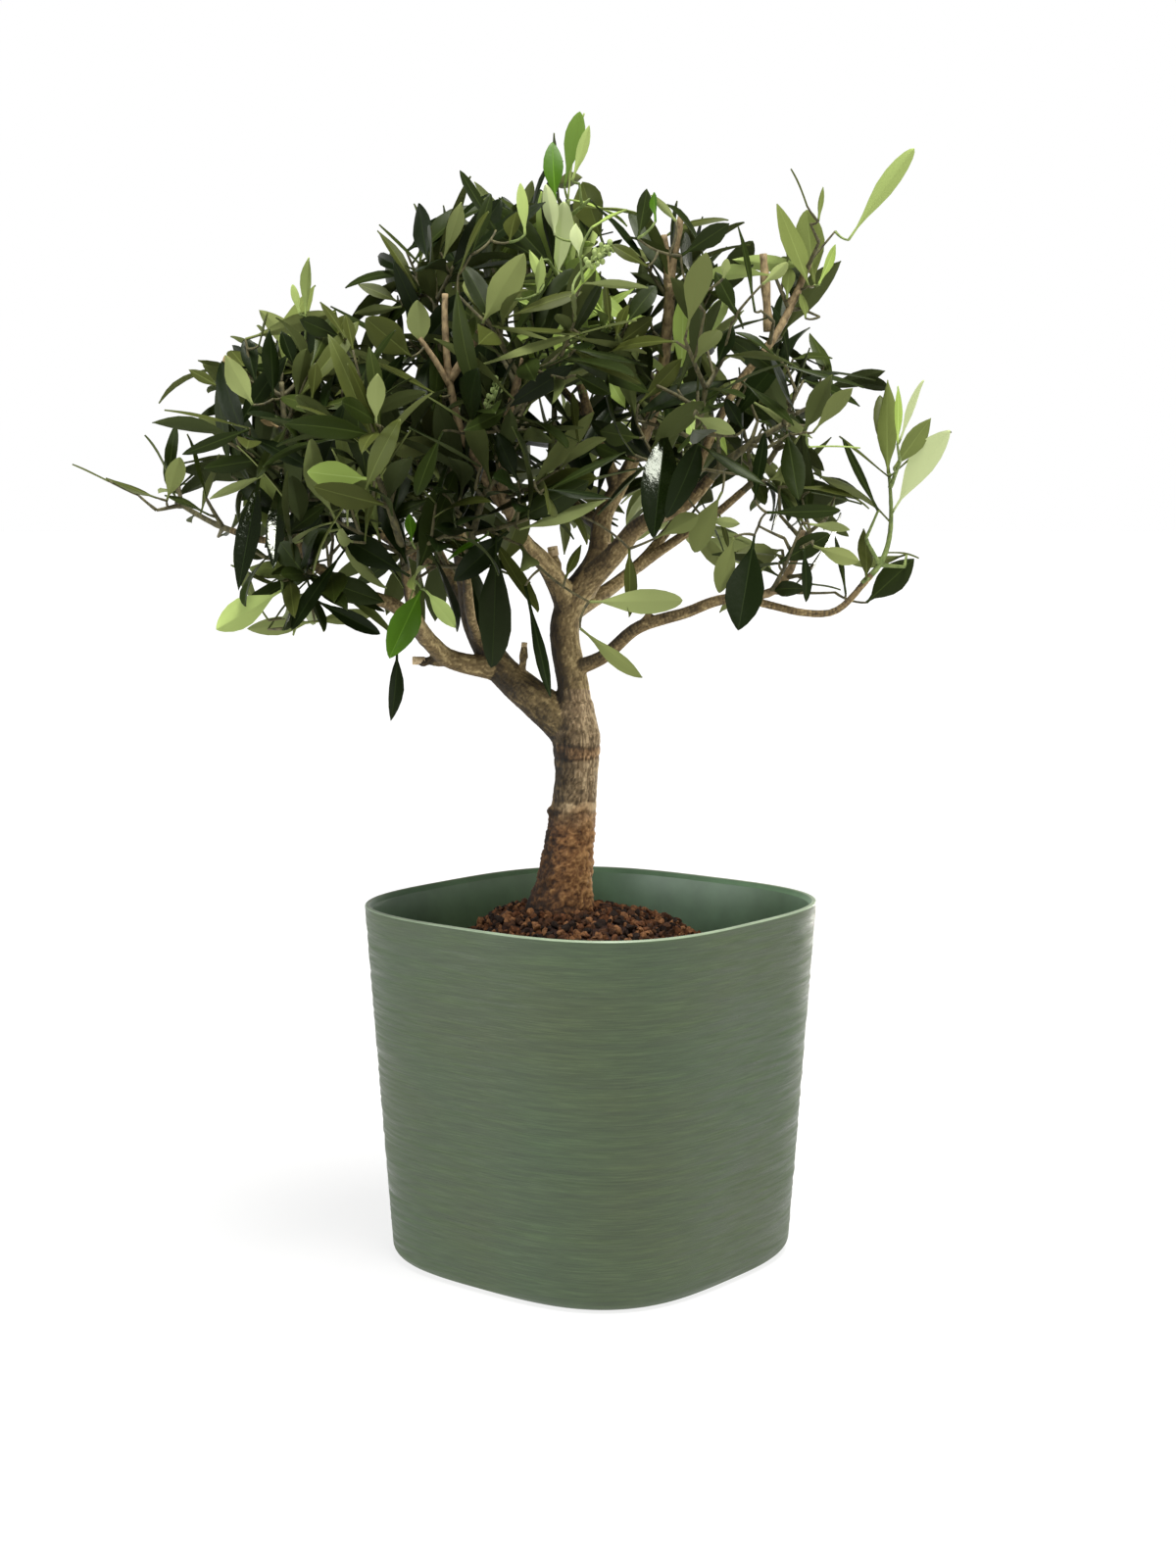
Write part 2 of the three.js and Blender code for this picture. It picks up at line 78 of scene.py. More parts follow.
# Pot: its form, the slots of its mesh and the rows to each part of its section
POT = {
    "height": 185.4,
    "top": 103.1,
    "base": 91.3,
    "squareness": 3.13,
    "turn": math.radians(51),
    "wall": 4,
    "floor": 6,
    "foot_round": 8,
    "lip_round": 1.1,
    "inner": [(0.4, 2.1), (2.2, 2.4), (2.4, 3.1), (3, 3.2), (8, 3.7), (14, 4)],
}
# The rim's slot takes a paler sage that is a painted highlight on the pot's top edge
OUTSIDE, HIGHLIGHT_RIM, INSIDE = range(3)
POT_SEGMENTS = 360
FOOT_ROWS, WALL_ROWS, LIP_ROWS, INSIDE_ROWS = 9, 150, 6, 14
END_SHARES = (0.04, 0.5, 0.8)
LIP_EDGE = 0.4
RIM_FLAT = 1.8
INSIDE_TOP = 20

# Brush strokes in the pot's wall: relief, heights and depths below the rim where they fade, and noises.
# A list of noises, here and below, holds cell size, seed and strength
STROKE_RELIEF = 0.22
STROKES_START = (9, 24)
STROKES_END = (3, 8)
STROKES = [((42, 42, 3.2), 5, 1), ((19, 19, 1.7), 6, 0.7)]

# Soil mound and the granules that cover it
SOIL = {"seat": (26, 180), "shoulder": (50, 172), "edge": 140, "inset": 6, "bulge": 0.6, "centre": -7}
SOIL_SIDES, SOIL_ROWS = 160, 56
SOIL_LUMPS = [(4, 11, 0.9), (1.8, 12, 0.5)]
SOIL_SINK = 0.6
GRANULES = 2400
GRANULE_TRIES = 4
GRANULE_SEED = 71
GRANULE_SIZE = (1.4, 3)
GRANULE_SPACING = 2.6
GRANULE_REACH = 0.97
GRANULE_CROWDING = 0.65
GRANULE_LIFT = (-0.2, 1.2)
CRUMB = {
    "pace": 1.3, "field": 90, "seed": 21, "lumps": 0.3, "cuts": 7, "cut_depth": (0.3, 0.8),
    "stretch": (0.7, 1.3),
}
PEBBLE_EDGE = 1.2

# Trunk, and the lumps and rings on it
TRUNK = {
    "path": [(-17.5, 0, 176), (-14.5, 0, 194), (-10.5, 0, 224), (-8, 0, 250), (-8, 0, 270), (-9, 0, 288)],
    "radii": (18.5, 14.3, 12.9, 11.7, 10.9, 12.6, 9.5),
}
FLARE = {"lobes": 5, "depth": 2, "height": 18, "turn": 0.6, "noise": [(8, 37, 0.5)]}
LUMPS = [
    ((-20, -3, 232), 3.2), ((-5, -8, 243), 3), ((-2, -3, 271), 6.4), ((-15, -5, 277), 5), ((-22, 4, 203), 3),
    ((-77, -1, 309.6), 3.4), ((-86, -2, 308.8), 2.6),
]
BARK_RINGS = [(266, 0.4), (259.5, 0.45), (254, 0.15), (248, 0.12), (243, 0.15), (238, 0.3), (232.5, 0.3)]
RING_WIDTH = 0.9
RING_WOBBLE = [(9, 36, 1.2)]
COLLAR = (259, 266)
PALE_BAND = (233, 237.5)
PALE_PATCHES = [(3, 42, 0.4)]
BAND_FADE = 0.8
FOOT_FADE = (222, 240)
FOOT_WOBBLE = [(9, 33, 4)]
FOOT_LUMPS = [((4, 4, 3), 34, 0.45), ((2, 2, 1.6), 35, 0.4), (1.1, 41, 0.4)]
SOIL_LINE = 178
DAMP_TOP = 192
# Dark patches along the left bough and in its fork: partly moss, partly painted shade under the crown
MOSS_AND_SHADE_PATCHES = [((-27, 0, 303), 15, 0.8), ((-50, 8, 316), 14, 0.6), ((-62, 4, 345), 18, 0.5)]
# Painted shade over the bark's left side, rising as it faces further left
PAINTED_SHADE_SIDE = (-0.1, 0.95)
STAIN_PATCHES = [(14, 38, 0.3), (4, 39, 0.2)]

# Skin of the limbs: tubes as sides and rings, voxels of their union and the rounds that smooth it
LIMB_SIDES = 20
LIMB_STEP = 4
LEAST_LIMB_RINGS = 6
LUMP_TUBE = (12, 8)
LUMP_END = 0.05
STUB_TUBE = (14, 12)
BOUGH_SWELLING = 0.28
SWELLING_RUN = 9
BARK_VOXEL = 0.82
SMOOTHING_ROUNDS = 12
SMOOTHING = (0.55, -0.5)

# Relief of the bark: steps along the limbs, and streaks, marks and plates as cell size and seed
AXIS_STEP = 2
LEAST_AXIS_ROWS = 4
LIMB_APART = 40
SPOT_BLOCK = 4000
BARK_WARP = [(5, 44, 0.8)]
BARK_GRAINS = [((1.1, 1.1, 6), 31), ((0.7, 0.7, 1.8), 43), ((3.2, 3.2, 14), 32)]
CRACK_WIDTH = 0.1
BARK_DEPTH = 0.03
BARK_DEPTH_SPAN = (0.08, 0.3)
BOUGH_FINENESS = 0.75

# Weights of the bark's parts: in its relief, in its tone from dark to light with painted side light, and in
# its stains and painted shade
RELIEF = {"streaks": 0.6, "plates": 0.6, "cracks": 0.7, "foot": 0.9, "rings": 0.8, "lobes": 0.5}
# The side weights make the bark's right side lighter and its left darker: painted light and shade
TONE = {
    "plain": 0.52, "streaks": 0.2, "plates": 0.1, "side": 0.22, "foot_lumps": 0.42, "foot_painted_side_light": 0.2,
    "rings": 0.5, "pale": 0.25, "collar": 0.06, "damp": 0.3,
}
# Stains, less a weight of painted shade on the bark's left side
STAIN_AND_SHADE = {"plain": 0.72, "painted_left_shade": 0.6}
PALE_SHARE = 0.6
COLLAR_SHARE = 0.5

# Boughs: points from inside the parent to the tip, and radius at root and tip
BOUGHS = {
    "leader": (
        [(-9, 0, 278), (-9.5, 2, 296), (-13, 5, 314), (-14, 6, 326), (-10, 4, 340), (-2, 2, 350)], 8, 7.4,
    ),
    "left": (
        [(-9, 0, 274), (-30, 4, 290), (-48, 10, 306), (-60, 10, 328), (-63, 2, 347), (-68, -5, 376)],
        10.5, 4,
    ),
    "left_low": (
        [(-46, 9, 304), (-72, 0, 310), (-82, -14, 320), (-97, -30, 338), (-126, -45, 348)], 5.6, 2.8,
    ),
    "left_upper": ([(-112, -39, 345.5), (-132, -44, 356), (-142, -44, 366), (-144, -43, 376)], 2.6, 2.2),
    "left_tip": ([(-142, -44, 366), (-154, -42, 370), (-166, -40, 372), (-178, -36, 376)], 1.9, 1.7),
    "front_left": ([(-83, -15, 321), (-87, -36, 333), (-89, -52, 345), (-90, -62, 358)], 3.6, 2.4),
    "front": ([(-12, 4, 338), (-22, -12, 357), (-34, -28, 371), (-40, -40, 384)], 6, 3),
    "front_low": ([(-57, 10, 320), (-60, -8, 330), (-61, -28, 341), (-61, -44, 354)], 3.8, 2.6),
    "right_up": ([(-6, 3, 345), (3, 8, 362), (6, 16, 383), (15, 21, 399), (24, 22, 417)], 6.6, 3.4),
    "right": ([(-4, 2, 348), (11, -6, 363), (24, -12, 378), (47, -20, 389), (59, -24, 402)], 6, 2.8),
    "right_low": (
        [(-11, 4, 304), (6, -8, 312), (23, -18, 327), (47, -26, 335), (62, -30, 341), (84, -30, 344)],
        3.8, 2.4,
    ),
    "right_tip": (
        [(74, -30, 342.8), (92, -30, 338), (106, -30, 335), (121, -30, 336), (139, -28, 354)], 2, 1.7,
    ),
    "right_high": (
        [(46, -20, 388.5), (54, -17, 410), (64, -16, 432), (74, -15, 450), (84, -14, 462)], 2.6, 2,
    ),
    "front_right": ([(32, -15, 382), (37, -30, 387), (41, -44, 392), (44, -54, 399)], 3.4, 2.4),
    "top": ([(13, 20, 396), (6, 22, 416), (-2, 19, 436), (-6, 16, 450)], 3.4, 2.4),
    "back_left": ([(-59, 10, 326), (-68, 30, 340), (-76, 47, 353), (-83, 59, 366)], 4.6, 2.6),
    "left_back": ([(-74, 43, 350), (-94, 48, 362), (-110, 47, 372), (-124, 44, 384)], 2.8, 2),
    "back": ([(5, 14, 378), (-6, 34, 385), (-12, 50, 392), (-16, 64, 402)], 3.8, 2.6),
    "back_right": ([(-13, 5, 332), (8, 28, 344), (26, 48, 358), (40, 62, 374)], 4.6, 2.6),
    "right_back": ([(24, 46, 356), (48, 50, 372), (66, 48, 384), (80, 46, 396)], 2.8, 2),
    "upper_back": ([(-1, 19.5, 433), (-10, 32, 442), (-18, 42, 452), (-23, 48, 463)], 2.2, 1.9),
}
BOUGH_OF = {"upper_right": "right_up", "upper_left": "left", "left": "left_upper"}

# Foliage masses: stem tip, reach from the stem, pairs of side twigs, leaf length, seed, furthest leaf tips
FOLIAGE = {
    "top": ((-12, 2, 540), 46, 3, 42, 4, [(-7, 0, 583)]),
    "right_high": ((108, -6, 508), 42, 3, 46, 12, [(156, 0, 565), (114, -5, 548), (94, -8, 540)]),
    "right_tip": (
        (147, -28, 402), 40, 2, 42, 5,
        [(145, -28, 450), (162, -28, 450), (176, -28, 426), (122, -28, 422), (162, -28, 360)],
    ),
    "left_tip": ((-206, -27, 390), 38, 2, 36, 29, [(-246, -25, 402), (-211, -28, 428)]),
    "upper_right": ((40, 15, 500), 56, 4, 48, 9, [(42, 15, 541), (76, 4, 526), (16, 2, 534)]),
    "upper_left": ((-78, -14, 500), 60, 4, 50, 38, [(-64, -20, 550), (-86, -24, 538), (-108, -16, 522)]),
    "left": ((-152, -34, 448), 64, 4, 50, 16, [(-146, -20, 508)]),
    "right": ((98, -34, 430), 50, 3, 48, 30, [(134, -20, 450)]),
    "right_low": ((104, -34, 376), 56, 4, 50, 30, [(74, -35, 327)]),
    "left_low": ((-148, -60, 366), 56, 3, 50, 15, [(-184, -42, 328), (-146, -52, 325), (-112, -72, 318)]),
    "front_left": ((-106, -94, 416), 62, 3, 50, 3, [(-93, -86, 297)]),
    "front_low": ((-50, -80, 396), 58, 3, 50, 17, [(-44, -76, 314)]),
    "front": ((-32, -84, 456), 64, 3, 50, 38, []),
    "front_right": ((54, -84, 448), 62, 3, 50, 30, []),
    "upper_back": ((-34, 62, 518), 58, 3, 48, 23, []),
    "back_left": ((-96, 92, 434), 64, 3, 50, 33, []),
    "back": ((-20, 98, 456), 64, 3, 50, 14, []),
    "back_right": ((60, 92, 444), 64, 3, 50, 34, []),
    "left_back": ((-148, 40, 440), 60, 3, 48, 20, []),
    "right_back": ((108, 46, 440), 58, 3, 48, 2, []),
}

# Rule of the side twigs and leaves, as in the solids
SPINE_STEPS = 20
STEM_BARE = 0.15
STEM_BACK = 7
TWIG_SPAN = (0.12, 0.9)
TWIG_SHARE = (0.45, 0.75)
TWIG_SHORTENING = (1, 0.75)
TWIG_OPENING = (1, 1.5)
TWIG_CLOSING = (1.05, 0.7)
TWIG_JITTER = (-0.35, 0.35)
TWIG_LIFT = 0.06
TWIG_BEND = 0.55
LEAF_NODES = (0.55, 1)
LEAF_WIDTH_SHARE = (0.34, 0.44)
LEAF_LENGTH_SHARE = (0.85, 1.14)
LEAF_OPENING = (0.7, 1.25)
LEAF_END_CLOSING = 0.75
LEAF_SKYWARD = 0.4
LEAF_DROOP = (-0.35, 0.6)

# Finer growth within the same reach
FINE_SEED = 1000
LOOSE_SEED = 9000
CROWN_SEED = 17
STEM_NODES = (0.3, 0.42, 0.66, 0.78, 0.9)
EXTRA_NODES = (0.28, 0.42, 0.7, 0.85)
EXTRA_TURN = 0.8
SPRIG_NODES = (0.35, 0.65, 1)
SPRIG_SPOTS = (0.3, 0.55, 0.8)
SPRIG_SHARE = (0.5, 0.8)
SPRIG_OPENING = (0.6, 0.95)
SPRIG_TURN = 2.2
SPRIG_LIFT = 0.2
SPRIG_LEAF = 0.88

# Twigs that close the crown's middle seen from above: share of the mass's stem and twig tip
HEART_TWIGS = {
    "front": [
        (0.35, (-26, -34, 436)), (0.6, (-12, -50, 454)), (0.8, (-48, -54, 464)), (0.5, (-22, -44, 424)),
    ],
    "front_right": [(0.4, (16, -46, 430)), (0.65, (20, -52, 450)), (0.8, (34, -50, 466))],
    "upper_left": [(0.5, (-44, -22, 440)), (0.75, (-50, -24, 474))],
    "top": [(0.15, (-26, -8, 456)), (0.35, (-24, -14, 484))],
    "upper_right": [(0.3, (8, -8, 446)), (0.55, (14, -14, 470))],
}
HEART_NODES = (0.45, 0.7, 0.85, 1)
HEART_LEAVE = 6

# Radii of stems and twigs from root to tip, and tubes as sides, steps or rings
STEM_FIT = 0.96
STEM_TIP_RADIUS = 1.2
STEM_TIPS = {"upper_right": 2.7, "right_high": 1.8, "right_low": 1.7, "front": 1.6, "right_tip": 0.8}
TWIG_RADIUS = (1.25, 0.75)
SPRIG_RADIUS = (0.85, 0.55)
STALK_RADIUS = (0.7, 0.5)
STEM_RADIUS = 2
STEM_SIDES, TWIG_SIDES = 10, 7
TWIG_STEP = 2.5
LEAST_TWIG_RINGS = 4
TRIMMED_POINTS = 60
KNUCKLE, KNUCKLE_STEP, KNUCKLE_POWER = 0.12, 1.9, 8
ROUGH_LIMB = (8, 14)
ROUGH_TWIG = (4, 6)

# Room that twigs and leaves need, tries to find it, and pixels to a cell of what hides the leaves behind
TWIG_CLEAR_FROM = 0.2
TWIG_CLEAR_POINTS = 8
TWIG_CLEARANCE = 0.6
LEAF_NEAR = 4
LEAF_SWING = 0.35
LEAF_TRIES = 4
COVER_CELL = 10
SIGHT_MARGIN = 1

# Stems that the photograph shows in front of the leaves: mass, points, and radius at root and tip
SHOWN_STEMS = [
    (
        "front",
        [
            (-40, -40, 384), (-47, -44, 392), (-54, -52, 406), (-62, -60, 421), (-68, -64, 447),
            (-70, -64, 474), (-70, -62, 488),
        ],
        2.4, 1.4,
    ),
    ("front", [(-68, -64, 445), (-75, -66, 457), (-82, -66, 467)], 1.6, 1.2),
]
SHOWN_SHARES = np.linspace(0.1, 1, 16)

# Cut stubs on the limbs and stems: start inside the wood, end, and radius at each
LIMB_STUBS = [
    ((-68, 1, 309), (-91, -3, 309.5), 3, 2), ((-36, 5, 297), (-34.5, 4, 318), 2.2, 1.9),
    ((25, -19, 328), (30, -22, 338), 1.8, 1.5), ((-17, -4, 350), (-20, -5, 367), 3, 2.5),
    ((9, -4, 360), (10, -4, 369), 2.5, 2.2), ((-80, -1, 309), (-82, -4, 315), 1.7, 1.3),
]
STUB_KNOBS = 0.16
STUB_WAVES = 11
STUB_PHASE = 3
CUT_FACE = 0.92
CUT_FROM = 0.75
CUT_TUBE = (12, 2)
STEM_STUBS = [
    ((39, 15, 496), (36.5, 14, 524), 2, 1.8), ((39, 15, 496), (45, 14, 533), 2.1, 1.9),
    ((97, -10, 487), (103, -10, 494), 1.8, 1.7), ((88, -12, 474), (85, -10, 512), 2.4, 2.1),
    ((-67.9, -64, 447), (-51.5, -65, 473), 1.9, 1.7),
]
STEM_STUB_TUBE = (12, 10)

# Sprays of flower buds: pixels of root and tip in the photograph, and the buds on each
BUD_SPRAYS = [((489, 430), (508, 392)), ((579, 282), (622, 252))]
BUDS = 16
BUD_SEED = 23
BUD_SIZE = (0.9, 1.5)
BUD_STRETCH = (1, 1, 1.2)
BUD_SPAN = (0.45, 1)
BUD_TURN = 2.4
BUD_OPENING = 0.9
BUD_REACH = (2, 6)
BUD_TAPER = 1.5
BUD_STALK, BUD_STALK_TUBE = (0.7, 0.4), (6, 14)
BUD_STEM, BUD_STEM_TUBE = 0.35, (5, 3)

# Leaf blades: shares of the length at which a blade is measured, its columns and thickness, and the spans
# from which each leaf draws its form
STATIONS = np.array([0, 0.06, 0.14, 0.26, 0.4, 0.55, 0.7, 0.82, 0.92, 0.975, 1])
COLUMNS, UPPER_COLUMNS = 10, 6
PETIOLE = 0.08
LEAST_HALF = (0.75, 0.12)
BLADE = 0.5
UPPER_RISE = np.array([0, 0.45, 0.5, 0.5, 0.45, 0]) * BLADE
UNDER_RISE = np.array([-0.5, -1.1, -1.1, -0.5]) * BLADE
BLADE_MIDDLE = 0.52
RIB_WIDTH, RIB_TAPER, RIB_LIMIT = 0.8, 0.7, 0.4
WIDEST = (0.46, 0.63)
TIP_SPAN = (0.35, 0.9)
TIP_BLUNTNESS = (0.55, 1.0)
LEAF_BEND = (-0.15, 0.75)
BEND_POWER = 1.4
LEAF_LEAN = (-0.12, 0.1)
LEAF_TWIST = (-0.5, 0.5)
LEAF_FOLD = (0.16, 0.44)
LEAF_CURL = (0.0, 0.16)
LEAF_WAVE, WAVE_PACE, WAVE_START = (0, 0.1), (5, 11), (0, 6)
SLIMNESS = (0.42, 0.8)
LEAF_ROLL = (-1.0, 1.0)
LEAF_STRAY = 0.3

# Rows and columns of a blade that stand for it in the search for room and in the photograph's view
BLADE_ROWS, BLADE_COLUMNS = [2, 4, 6, 10], [0, 2, 5]
BLADE_FACES = [[r * 3 + c, r * 3 + c + 1, r * 3 + c + 4, r * 3 + c + 3] for r in range(3) for c in range(2)]
VIEW_ROWS, VIEW_COLUMNS = slice(2, 9), [1, 2, 4]

# Leaf colours: upper face, underside, midrib, and the upper face's roughness, shine and grain
TINTS = {
    "gloss": ((17, 27, 7), (60, 68, 36), (30, 43, 13), 0.13, 1.0, 0.25),
    "deep": ((20, 30, 8), (58, 66, 35), (34, 46, 15), 0.36, 0.14, 0.15),
    "dark": ((34, 44, 12), (76, 84, 45), (52, 64, 24), 0.42, 0.14, 0.15),
    "moss": ((48, 58, 18), (88, 96, 52), (68, 78, 32), 0.45, 0.14, 0.12),
    "olive": ((64, 70, 27), (110, 118, 68), (84, 92, 42), 0.48, 0.14, 0.12),
    "khaki": ((82, 90, 40), (122, 131, 78), (100, 110, 56), 0.48, 0.2, 0.12),
    "sage": ((106, 117, 60), (138, 148, 92), (120, 132, 72), 0.5, 0.2, 0.12),
    "bright": ((68, 106, 14), (104, 132, 56), (92, 132, 36), 0.4, 0.25, 0.12),
    "fresh": ((146, 168, 82), (166, 184, 108), (164, 186, 102), 0.45, 0.2, 0.03),
    "pale": ((190, 204, 140), (196, 208, 152), (202, 215, 158), 0.5, 0.2, 0.03),
    "dry": ((150, 126, 84), (172, 150, 108), (160, 138, 96), 0.7, 0.15, 0.2),
}
LEAF_PLACES = 3
UPPER_FACE, UNDERSIDE, MIDRIB = range(LEAF_PLACES)
UNDER_FINISH = (0.75, 0.12, 0)
RIB_FINISH = (0.55, 0.15, 0)
LEAF_GRAIN = ((380, 380, 380), 2)
LEAF_GRAIN_DEPTH = 0.0006
SHINE_TINT = (0.92, 0.97, 0.82, 1)

# How the colours are dealt out: darker ones as painted shade in the crown's heart, shares of sprays, shares
# of young sprays in a mass, and the share of a mass's finer leaves that may be in view
SHADED_INNER_TINTS = {"sage": "olive", "khaki": "moss", "olive": "dark", "moss": "dark", "dark": "deep"}
SHADED_HEART = ((-25, 0, 425), (150, 95, 100))
SPRAY_TINTS = (
    ("deep", 0.25), ("dark", 0.25), ("moss", 0.15), ("olive", 0.14), ("khaki", 0.1), ("sage", 0.11),
)
FRESH_SHARE = {"top": 0.5, "right_tip": 0.3, "right_high": 0.15, "right": 0.06, "upper_right": 0.06}
FULLNESS = {
    "right": 0.25, "right_low": 0.2, "right_high": 0.25, "right_tip": 0.15, "left_tip": 0.2,
    "upper_right": 0.35, "top": 0.5, "front_right": 0.4, "right_back": 0.7,
}

# Leaves that stand out in the photograph, by their colour and by whether the upper face, the underside or
# the edge is towards the viewer: pixels of root and tip, and width in pixels
ACCENTS = {
    ("deep", "upper"): [
        (437, 268, 425, 206, 29), (300, 374, 285, 340, 18), (262, 395, 249, 342, 18),
        (279, 407, 275, 336, 23), (352, 561, 296, 641, 19), (319, 611, 388, 647, 17),
        (405, 664, 407, 733, 18), (418, 588, 350, 546, 29), (519, 542, 464, 592, 27),
        (506, 546, 502, 681, 40), (505, 422, 585, 372, 22), (528, 490, 505, 440, 22),
        (556, 499, 624, 511, 18), (731, 374, 749, 333, 20), (752, 386, 651, 424, 38),
        (758, 438, 742, 407, 18), (770, 510, 778, 440, 15), (770, 546, 751, 641, 40),
        (820, 560, 823, 614, 13), (536, 598, 564, 713, 13), (415, 575, 388, 505, 22),
    ],
    ("olive", "upper"): [
        (426, 298, 388, 230, 15), (520, 247, 526, 215, 22), (420, 364, 374, 325, 34),
        (406, 308, 366, 288, 18), (360, 357, 352, 322, 14), (353, 346, 328, 306, 14),
        (318, 408, 322, 370, 16), (224, 395, 191, 375, 12), (160, 508, 108, 488, 13),
        (451, 405, 381, 370, 21), (515, 325, 592, 290, 22), (661, 272, 624, 250, 14),
        (622, 337, 615, 285, 9), (628, 348, 640, 310, 16), (632, 350, 667, 324, 20),
        (652, 412, 700, 365, 20), (590, 452, 582, 400, 12), (642, 560, 640, 632, 16),
        (577, 590, 592, 555, 14), (884, 592, 884, 538, 22),
    ],
    ("sage", "under"): [
        (451, 268, 470, 206, 21), (430, 352, 426, 306, 27), (384, 432, 385, 381, 25),
        (410, 313, 362, 322, 15), (258, 413, 228, 363, 27), (270, 485, 214, 510, 12),
        (530, 540, 622, 517, 18), (690, 226, 664, 199, 9), (778, 290, 804, 268, 14),
        (738, 284, 742, 264, 10), (595, 289, 662, 289, 14), (709, 425, 749, 445, 22),
        (719, 529, 755, 535, 12), (601, 614, 697, 614, 26), (765, 408, 829, 447, 14),
        (826, 535, 867, 541, 14),
    ],
    ("dark", "upper"): [
        (506, 235, 470, 174, 12), (481, 260, 502, 197, 14), (350, 345, 305, 325, 20),
        (254, 438, 186, 464, 14), (172, 490, 182, 435, 17), (272, 468, 208, 478, 18),
        (290, 547, 333, 515, 15), (310, 585, 286, 553, 28), (365, 472, 338, 455, 20),
        (452, 440, 418, 500, 20), (452, 504, 382, 527, 18), (426, 584, 468, 476, 38),
        (545, 492, 470, 483, 12), (552, 504, 638, 460, 13), (651, 243, 661, 192, 20),
        (695, 261, 743, 228, 22), (770, 318, 760, 226, 11), (752, 320, 728, 276, 18),
        (640, 330, 668, 290, 22), (588, 357, 661, 372, 21), (588, 383, 623, 402, 18),
        (790, 362, 751, 338, 13), (711, 452, 780, 498, 14), (787, 370, 883, 390, 13),
        (757, 389, 813, 430, 25), (803, 440, 816, 512, 25), (782, 523, 858, 521, 15),
        (795, 574, 846, 545, 23), (884, 615, 932, 571, 29), (863, 606, 851, 547, 7),
        (896, 521, 858, 446, 9),
    ],
    ("olive", "edge"): [
        (468, 280, 500, 216, 13), (264, 353, 270, 318, 8), (254, 437, 167, 423, 14), (111, 491, 76, 469, 3),
        (388, 487, 420, 440, 8), (824, 211, 812, 170, 3), (734, 525, 747, 557, 8), (808, 497, 872, 501, 14),
    ],
    ("fresh", "under"): [
        (312, 323, 310, 262, 18), (306, 320, 299, 290, 9), (287, 603, 220, 641, 31),
        (435, 603, 468, 639, 19), (584, 184, 602, 128, 12), (536, 239, 534, 186, 13),
        (866, 245, 927, 148, 20), (555, 290, 540, 255, 12), (548, 300, 556, 262, 12),
    ],
    ("fresh", "upper"): [
        (378, 489, 313, 481, 29), (835, 291, 856, 248, 12), (916, 452, 918, 393, 11),
        (585, 300, 610, 262, 10), (604, 232, 640, 214, 9),
    ],
    ("olive", "under"): [
        (170, 511, 181, 466, 22), (492, 330, 534, 258, 34), (701, 337, 715, 256, 32),
        (737, 502, 709, 564, 28), (669, 549, 712, 524, 21), (592, 641, 655, 692, 19),
        (749, 548, 732, 605, 23), (830, 441, 868, 394, 21), (785, 490, 814, 480, 23),
        (830, 557, 877, 575, 20),
    ],
    ("gloss", "upper"): [(266, 479, 243, 597, 25), (287, 479, 279, 588, 21), (680, 433, 667, 548, 37)],
    ("bright", "upper"): [
        (430, 601, 397, 672, 31), (420, 552, 417, 525, 13), (497, 546, 458, 574, 12),
        (567, 205, 563, 144, 21), (669, 226, 667, 196, 12),
    ],
    ("khaki", "under"): [(481, 376, 590, 339, 14)],
    ("sage", "edge"): [(592, 340, 648, 320, 9)],
    ("bright", "under"): [(576, 190, 590, 113, 21)],
    ("pale", "under"): [
        (569, 285, 574, 205, 27), (592, 262, 588, 228, 16), (919, 448, 938, 386, 13),
        (912, 521, 967, 437, 36), (566, 240, 556, 188, 17),
    ],
    ("khaki", "upper"): [(616, 250, 595, 186, 36)],
    ("sage", "upper"): [
        (825, 291, 795, 206, 34), (831, 291, 822, 213, 33), (803, 305, 806, 273, 16),
        (822, 325, 818, 297, 14), (835, 226, 839, 190, 7), (906, 483, 904, 386, 25),
        (912, 478, 947, 427, 22),
    ],
    ("moss", "upper"): [(652, 447, 612, 440, 26)],
    ("dark", "under"): [(820, 441, 852, 383, 28)],
    ("dark", "edge"): [(826, 502, 880, 513, 6), (829, 596, 858, 602, 5)],
    ("fresh", "edge"): [(825, 456, 878, 454, 3)],
    ("dry", "under"): [(240, 384, 229, 363, 12), (284, 436, 266, 428, 7)],
}
ACCENT_FRONT = 0.15
ACCENT_LEAN = 0.08
ACCENT_TILT = {"upper": 0.35, "under": 0, "edge": 0}
GLOSS_TILT = 0.5
ACCENT_FACES = {"upper": (1, 0.6), "under": (-1, 0.1), "edge": (0.2, 1)}
ACCENT_SHIFTS = (-4, 2, -10, 8, -16, 14, -22, 20, -30, 26, 34, 42)
ACCENT_BEND = (-0.1, 0.3)
ACCENT_ROLL = (0.3, 0.65)
STALK_BEND = 0.6
STALK_SAG = 0.2
CARRIER_SHARES = np.linspace(0.1, 1, 12)

